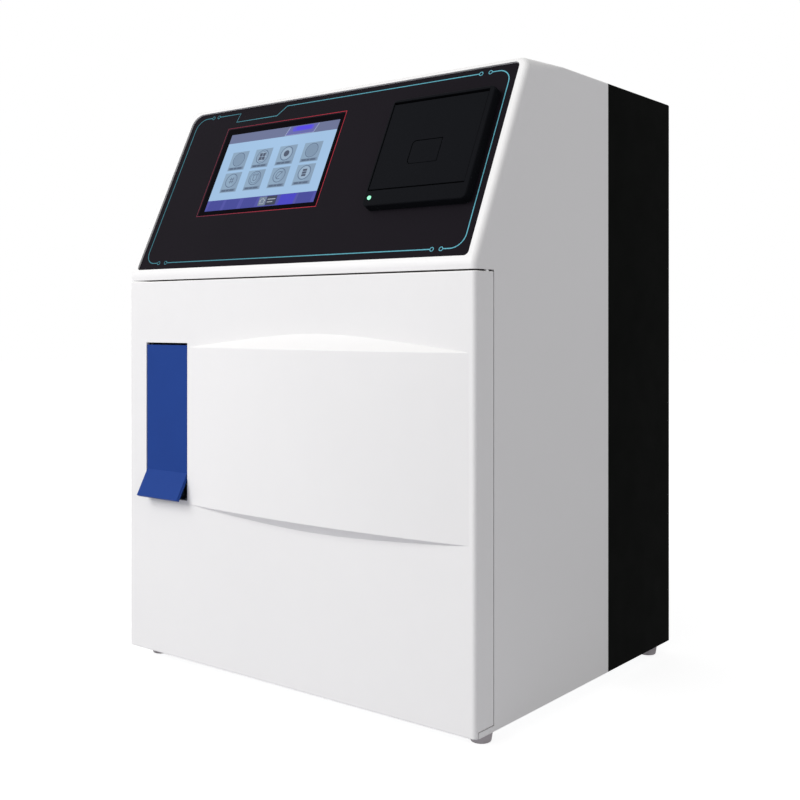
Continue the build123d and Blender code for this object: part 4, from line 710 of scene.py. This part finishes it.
# Two rows of four tiles, shaded at the right, each with a label field that holds three dashes
tile_lefts = (-0.0896, -0.0653, -0.0410, -0.0167)
tile_rows = ((0.0836, 0.0996), (0.0650, 0.0816))
tile_width, shade_start = 0.0172, 0.0106
label_left, label_right_gap = 0.0008, 0.0012
label_low, label_high = 0.0005, 0.0028
dash_low, dash_high = 0.0009, 0.0023
dashes = ((0.0020, 0.0040), (0.0066, 0.0028), (0.0100, 0.0046))
tiles = [(left, low, high) for low, high in tile_rows for left in tile_lefts]
tile_blocks = [block(left, low, left + tile_width, high) for left, low, high in tiles]
tile_shades = [
    block(left + shade_start, low, left + tile_width, high) for left, low, high in tiles
]
labels = [
    block(
        left + label_left, low + label_low, left + tile_width - label_right_gap, low + label_high
    )
    for left, low, _ in tiles
]
label_dashes = [
    block(left + start, low + dash_low, left + start + length, low + dash_high)
    for left, low, _ in tiles
    for start, length in dashes
]
add_picture("screen_tiles", 1, tone(140, 166, 190), tile_blocks)
add_picture("screen_tile_shades", 2, tone(134, 158, 182), tile_shades)
add_picture("screen_labels", 3, tone(114, 134, 158), labels)
add_picture("screen_label_dashes", 4, tone(86, 103, 126), label_dashes)

# A round icon on each tile: a ring, a disc in some of them, and a mark inside
icon_radius, icon_drop = 0.0056, 0.0067
icons = [(left + tile_width / 2, high - icon_drop) for left, _, high in tiles]
left_icon, keypad_icon, dot_icon, right_icon = icons[:4]
lattice_icon, vial_icon, dial_icon, list_icon = icons[4:]
pale_discs = [
    circle(icon, icon_radius - 0.0008) for icon in (keypad_icon, dot_icon, list_icon)
]
grey_discs = [circle(icon, icon_radius - 0.0006) for icon in (left_icon, right_icon)]
icon_rings = [(circle(icon, icon_radius), thin, True) for icon in icons]
icon_rings += [
    (circle(icon, icon_radius - 0.0014), fine, True) for icon in (keypad_icon, vial_icon)
]
key_size, key_starts = 0.0027, (-0.0029, 0.0002)
keys = [block(x, y, x + key_size, y + key_size) for x in key_starts for y in key_starts]
row_half, row_height = 0.0020, 0.0017
rows = [block(-row_half, y, row_half, y + row_height) for y in (-0.0031, -0.0010, 0.0011)]
dark_marks = [about(keypad_icon, key) for key in keys]
dark_marks += [about(list_icon, row) for row in rows]
dark_marks += [circle(dot_icon, 0.0026)]
vial_radius, vial_head = 0.0016, 0.0024
vial_round = arc((0, -0.0006), vial_radius, 180, 360)
vial = [(-vial_radius, vial_head), *vial_round, (vial_radius, vial_head)]
open_marks = (
    about(lattice_icon, [(-0.0022, 0.0012), (0.0022, 0.0012)]),
    about(lattice_icon, [(-0.0022, -0.0010), (0.0022, -0.0010)]),
    about(lattice_icon, [(-0.0010, -0.0024), (-0.0006, 0.0026)]),
    about(lattice_icon, [(0.0010, -0.0024), (0.0014, 0.0026)]),
    about(vial_icon, vial),
    about(vial_icon, [(-0.0024, 0.0026), (0.0024, 0.0026)]),
    arc(dial_icon, 0.0030, 40, 300, 16),
    about(dial_icon, [(-0.0018, -0.0020), (0.0026, 0.0030)]),
)
icon_marks = [(points, thin, False) for points in open_marks]
add_picture("screen_discs", 3, tone(154, 177, 199), pale_discs)
add_picture("screen_grey_discs", 3, tone(126, 149, 173), grey_discs)
add_picture("screen_rings", 4, tone(94, 112, 138), strokes=icon_rings)
add_picture("screen_dark_marks", 5, tone(78, 88, 108), dark_marks)
add_picture("screen_marks", 5, tone(96, 112, 136), strokes=icon_marks)

# Small badge in the low bar: a house outline on a pale field, and two dashes on a dark one
badge_low, badge_high = 0.0508, 0.0582
badge_pale = rounded(-0.0441, badge_low, -0.0368, badge_high, 0.0010)
badge_dark = block(-0.0366, badge_low, -0.0268, badge_high)
house_roof = [(-0.0432, 0.0545), (-0.0405, 0.0568), (-0.0378, 0.0545)]
house_walls = [(-0.0423, 0.0549), (-0.0423, 0.0524), (-0.0387, 0.0524), (-0.0387, 0.0549)]
badge_strokes = (
    (house_roof, thin, False),
    (house_walls, thin, False),
    ([(-0.0355, 0.0556), (-0.0280, 0.0556)], bold, False),
    ([(-0.0355, 0.0534), (-0.0300, 0.0534)], bold, False),
)
add_picture("screen_badge_pale", 2, tone(112, 126, 146), [badge_pale])
add_picture("screen_badge_dark", 2, tone(58, 64, 82), [badge_dark])
add_picture("screen_badge_marks", 3, tone(168, 178, 190), strokes=badge_strokes)

# ON and OFF marks on the two faces of the mains rocker, which stands tilted at rest
switch_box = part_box("power_switch")
switch_middle, switch_rear = middle(switch_box), switch_box[1].y
rocker_tilt = math.radians(10)
face_length, face_sink = 0.0065, 0.0012
face_tilt, face_middle = math.atan2(face_sink, face_length), face_length / 2
face_out, axle_depth = 0.0028, 0.0030
mark_half, mark_width, mark_level = 0.0013, 0.0005, 0.00002
on_mark = ([(0, -mark_half), (0, mark_half)], False)
off_mark = (circle((0, 0), mark_half, ring_steps), True)
rocker_marks = bmesh.new()
for side, (points, closed) in ((1, on_mark), (-1, off_mark)):
    out = face_out * math.cos(rocker_tilt) - side * face_middle * math.sin(rocker_tilt)
    up = face_out * math.sin(rocker_tilt) + side * face_middle * math.cos(rocker_tilt)
    face_place = (switch_middle.x, switch_rear - axle_depth + out, switch_middle.z + up)
    place = facing(1, face_place, rocker_tilt - side * face_tilt)
    add_line(rocker_marks, points, mark_width, mark_level, closed, place=place)
white_ink = tinted("printed_white", tone(216, 218, 216), tone(230, 230, 228), 0.0, 0.2)
add_piece("rocker_marks", rocker_marks, white_ink, "rocker")


def add_cap(shape, centre, back_y, radius, height):
    """Add a round cap with a softened rim that stands forward from a face."""
    middle_y = back_y - height / 2
    made = bmesh.ops.create_cone(
        shape,
        cap_ends=True,
        segments=32,
        radius1=radius,
        radius2=radius,
        depth=height,
        matrix=facing(-1, (centre.x, middle_y, centre.z)),
    )
    front = [v for v in made["verts"] if v.co.y < middle_y]
    edges = dict.fromkeys(edge for v in front for edge in v.link_edges)
    rim = [edge for edge in edges if all(v in front for v in edge.verts)]
    bmesh.ops.bevel(
        shape,
        geom=rim,
        offset=height * 0.4,
        segments=3,
        profile=0.5,
        affect="EDGES",
        material=-1,
    )


# Hub cap and roller pin heads on the pump's rotor
rotor_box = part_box("pump_rotor")
hub, rotor_front = middle(rotor_box), rotor_box[0].y
hub_radius, hub_height = 0.0056, 0.0012
pin_radius, pin_height = 0.0024, 0.0009
rotor_caps = bmesh.new()
add_cap(rotor_caps, hub, rotor_front, hub_radius, hub_height)
for number in (1, 2, 3):
    pin = middle(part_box(f"pump_roller_{number}"))
    add_cap(rotor_caps, pin, rotor_front, pin_radius, pin_height)
add_piece("rotor_caps", rotor_caps, finishes["pump_dark"], "pump_rotor")

# Cross recesses in the hub cap, and in the heads of the rear panel's screws, where near-black
# patches paint their shade
hub_cross, screw_cross = plus(0.0026, 0.0006), plus(0.0018, 0.00035)
hub_recess = bmesh.new()
hub_face = facing(-1, (hub.x, rotor_front - hub_height, hub.z))
add_patch(hub_recess, hub_cross, place=hub_face)
add_piece("hub_recess", hub_recess, finishes["steel"], "pump_rotor")
screw_low, screw_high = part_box("panel_screws")
head_radius = 0.0030
screw_columns = (screw_low.x + head_radius, screw_high.x - head_radius)
screw_rows = (
    screw_low.z + head_radius,
    (screw_low.z + screw_high.z) / 2,
    screw_high.z - head_radius,
)
screw_recesses = bmesh.new()
for x in screw_columns:
    for z in screw_rows:
        screw_face = facing(1, (x, screw_high.y, z))
        add_patch(screw_recesses, screw_cross, place=screw_face)
# Near-black colour on the screw crosses, a little lighter towards +X: painted shade of the
# recesses
recess_painted_shade = tinted("recess_painted_shade", tone(24, 24, 26), tone(34, 34, 36), 0.0, 0.2)
add_piece("screw_recesses", screw_recesses, recess_painted_shade)


def in_view(paint):
    """1 for what the camera sees straight, mirrored or through a clear piece."""
    camera, mirrored, through = [
        paint.node("ShaderNodeLightPath", output=f"Is {kind} Ray")
        for kind in ("Camera", "Glossy", "Transmission")
    ]
    return camera.larger(mirrored).larger(through)


def add_lamp(name, place, power):
    """Large soft lamp that points at the unit."""
    lamp_size, aim = 1.6, Vector((0, 0, 0.2))
    data = bpy.data.lights.new(name, "AREA")
    data.shape = "SQUARE"
    data.size = lamp_size
    data.energy = power
    lamp = bpy.data.objects.new(name, data)
    lamp.location = place
    lamp.rotation_euler = (aim - Vector(place)).to_track_quat("-Z", "Y").to_euler()
    scene.collection.objects.link(lamp)


# Pale floor, which glows only where it is seen, so it takes the shadow and lights nothing
white, no_light = (1, 1, 1, 1), (0, 0, 0, 1)
floor_half, floor_glow = 6.0, 0.80
floor_shape = bmesh.new()
bmesh.ops.create_grid(floor_shape, x_segments=1, y_segments=1, size=floor_half)
floor_mesh = bpy.data.meshes.new("floor")
floor_shape.to_mesh(floor_mesh)
floor_shape.free()
floor = bpy.data.objects.new("floor", floor_mesh)
scene.collection.objects.link(floor)
ground = new_paint("floor")
seen = in_view(ground)
floor_finish = ground.finish(
    {
        "Base Color": ground.mix(seen, (0.48, 0.48, 0.53, 1), (0.50, 0.50, 0.50, 1)),
        "Emission Color": ground.mix(seen, no_light, white),
        "Emission Strength": floor_glow,
        "Roughness": 0.9,
        "Specular IOR Level": 0.0,
    }
)
floor_mesh.materials.append(floor_finish)

# Studio: a dim even light on the unit from a world that shows white, and two large soft lamps
sky_strength = 0.45
world = bpy.data.worlds.new("studio")
scene.world = world
studio = Paint(world, "Background")
studio.feed(studio.shader, {"Color": white, "Strength": sky_strength})
dim = Signal(studio, studio.shader.outputs[0])
bright = studio.node("ShaderNodeBackground", inputs={"Color": white})
shown = studio.node("ShaderNodeMixShader", inputs={0: in_view(studio), 1: dim, 2: bright})
studio.feed(studio.tree.nodes["World Output"], {"Surface": shown})
add_lamp("key", (-1.3, -2.2, 1.6), 60)
add_lamp("fill", (2.4, -0.8, 1.2), 7)

# Level camera, fitted to the photo in pixels of its width
picture_width, focal_pixels, shift_pixels = 800, 1113.46, -77
sensor_width = 36.0
camera_right, camera_ahead, camera_up = 0.5195, 0.5317, 0.2411
camera_turn = math.radians(38.18)
camera_data = bpy.data.cameras.new("camera")
camera_data.sensor_width = sensor_width
camera_data.lens = sensor_width * focal_pixels / picture_width
camera_data.shift_y = shift_pixels / picture_width
camera = bpy.data.objects.new("camera", camera_data)
camera.location = (camera_right, front_y - camera_ahead, base_z + camera_up)
camera.rotation_euler = (math.radians(90), 0, camera_turn)
scene.collection.objects.link(camera)
scene.camera = camera
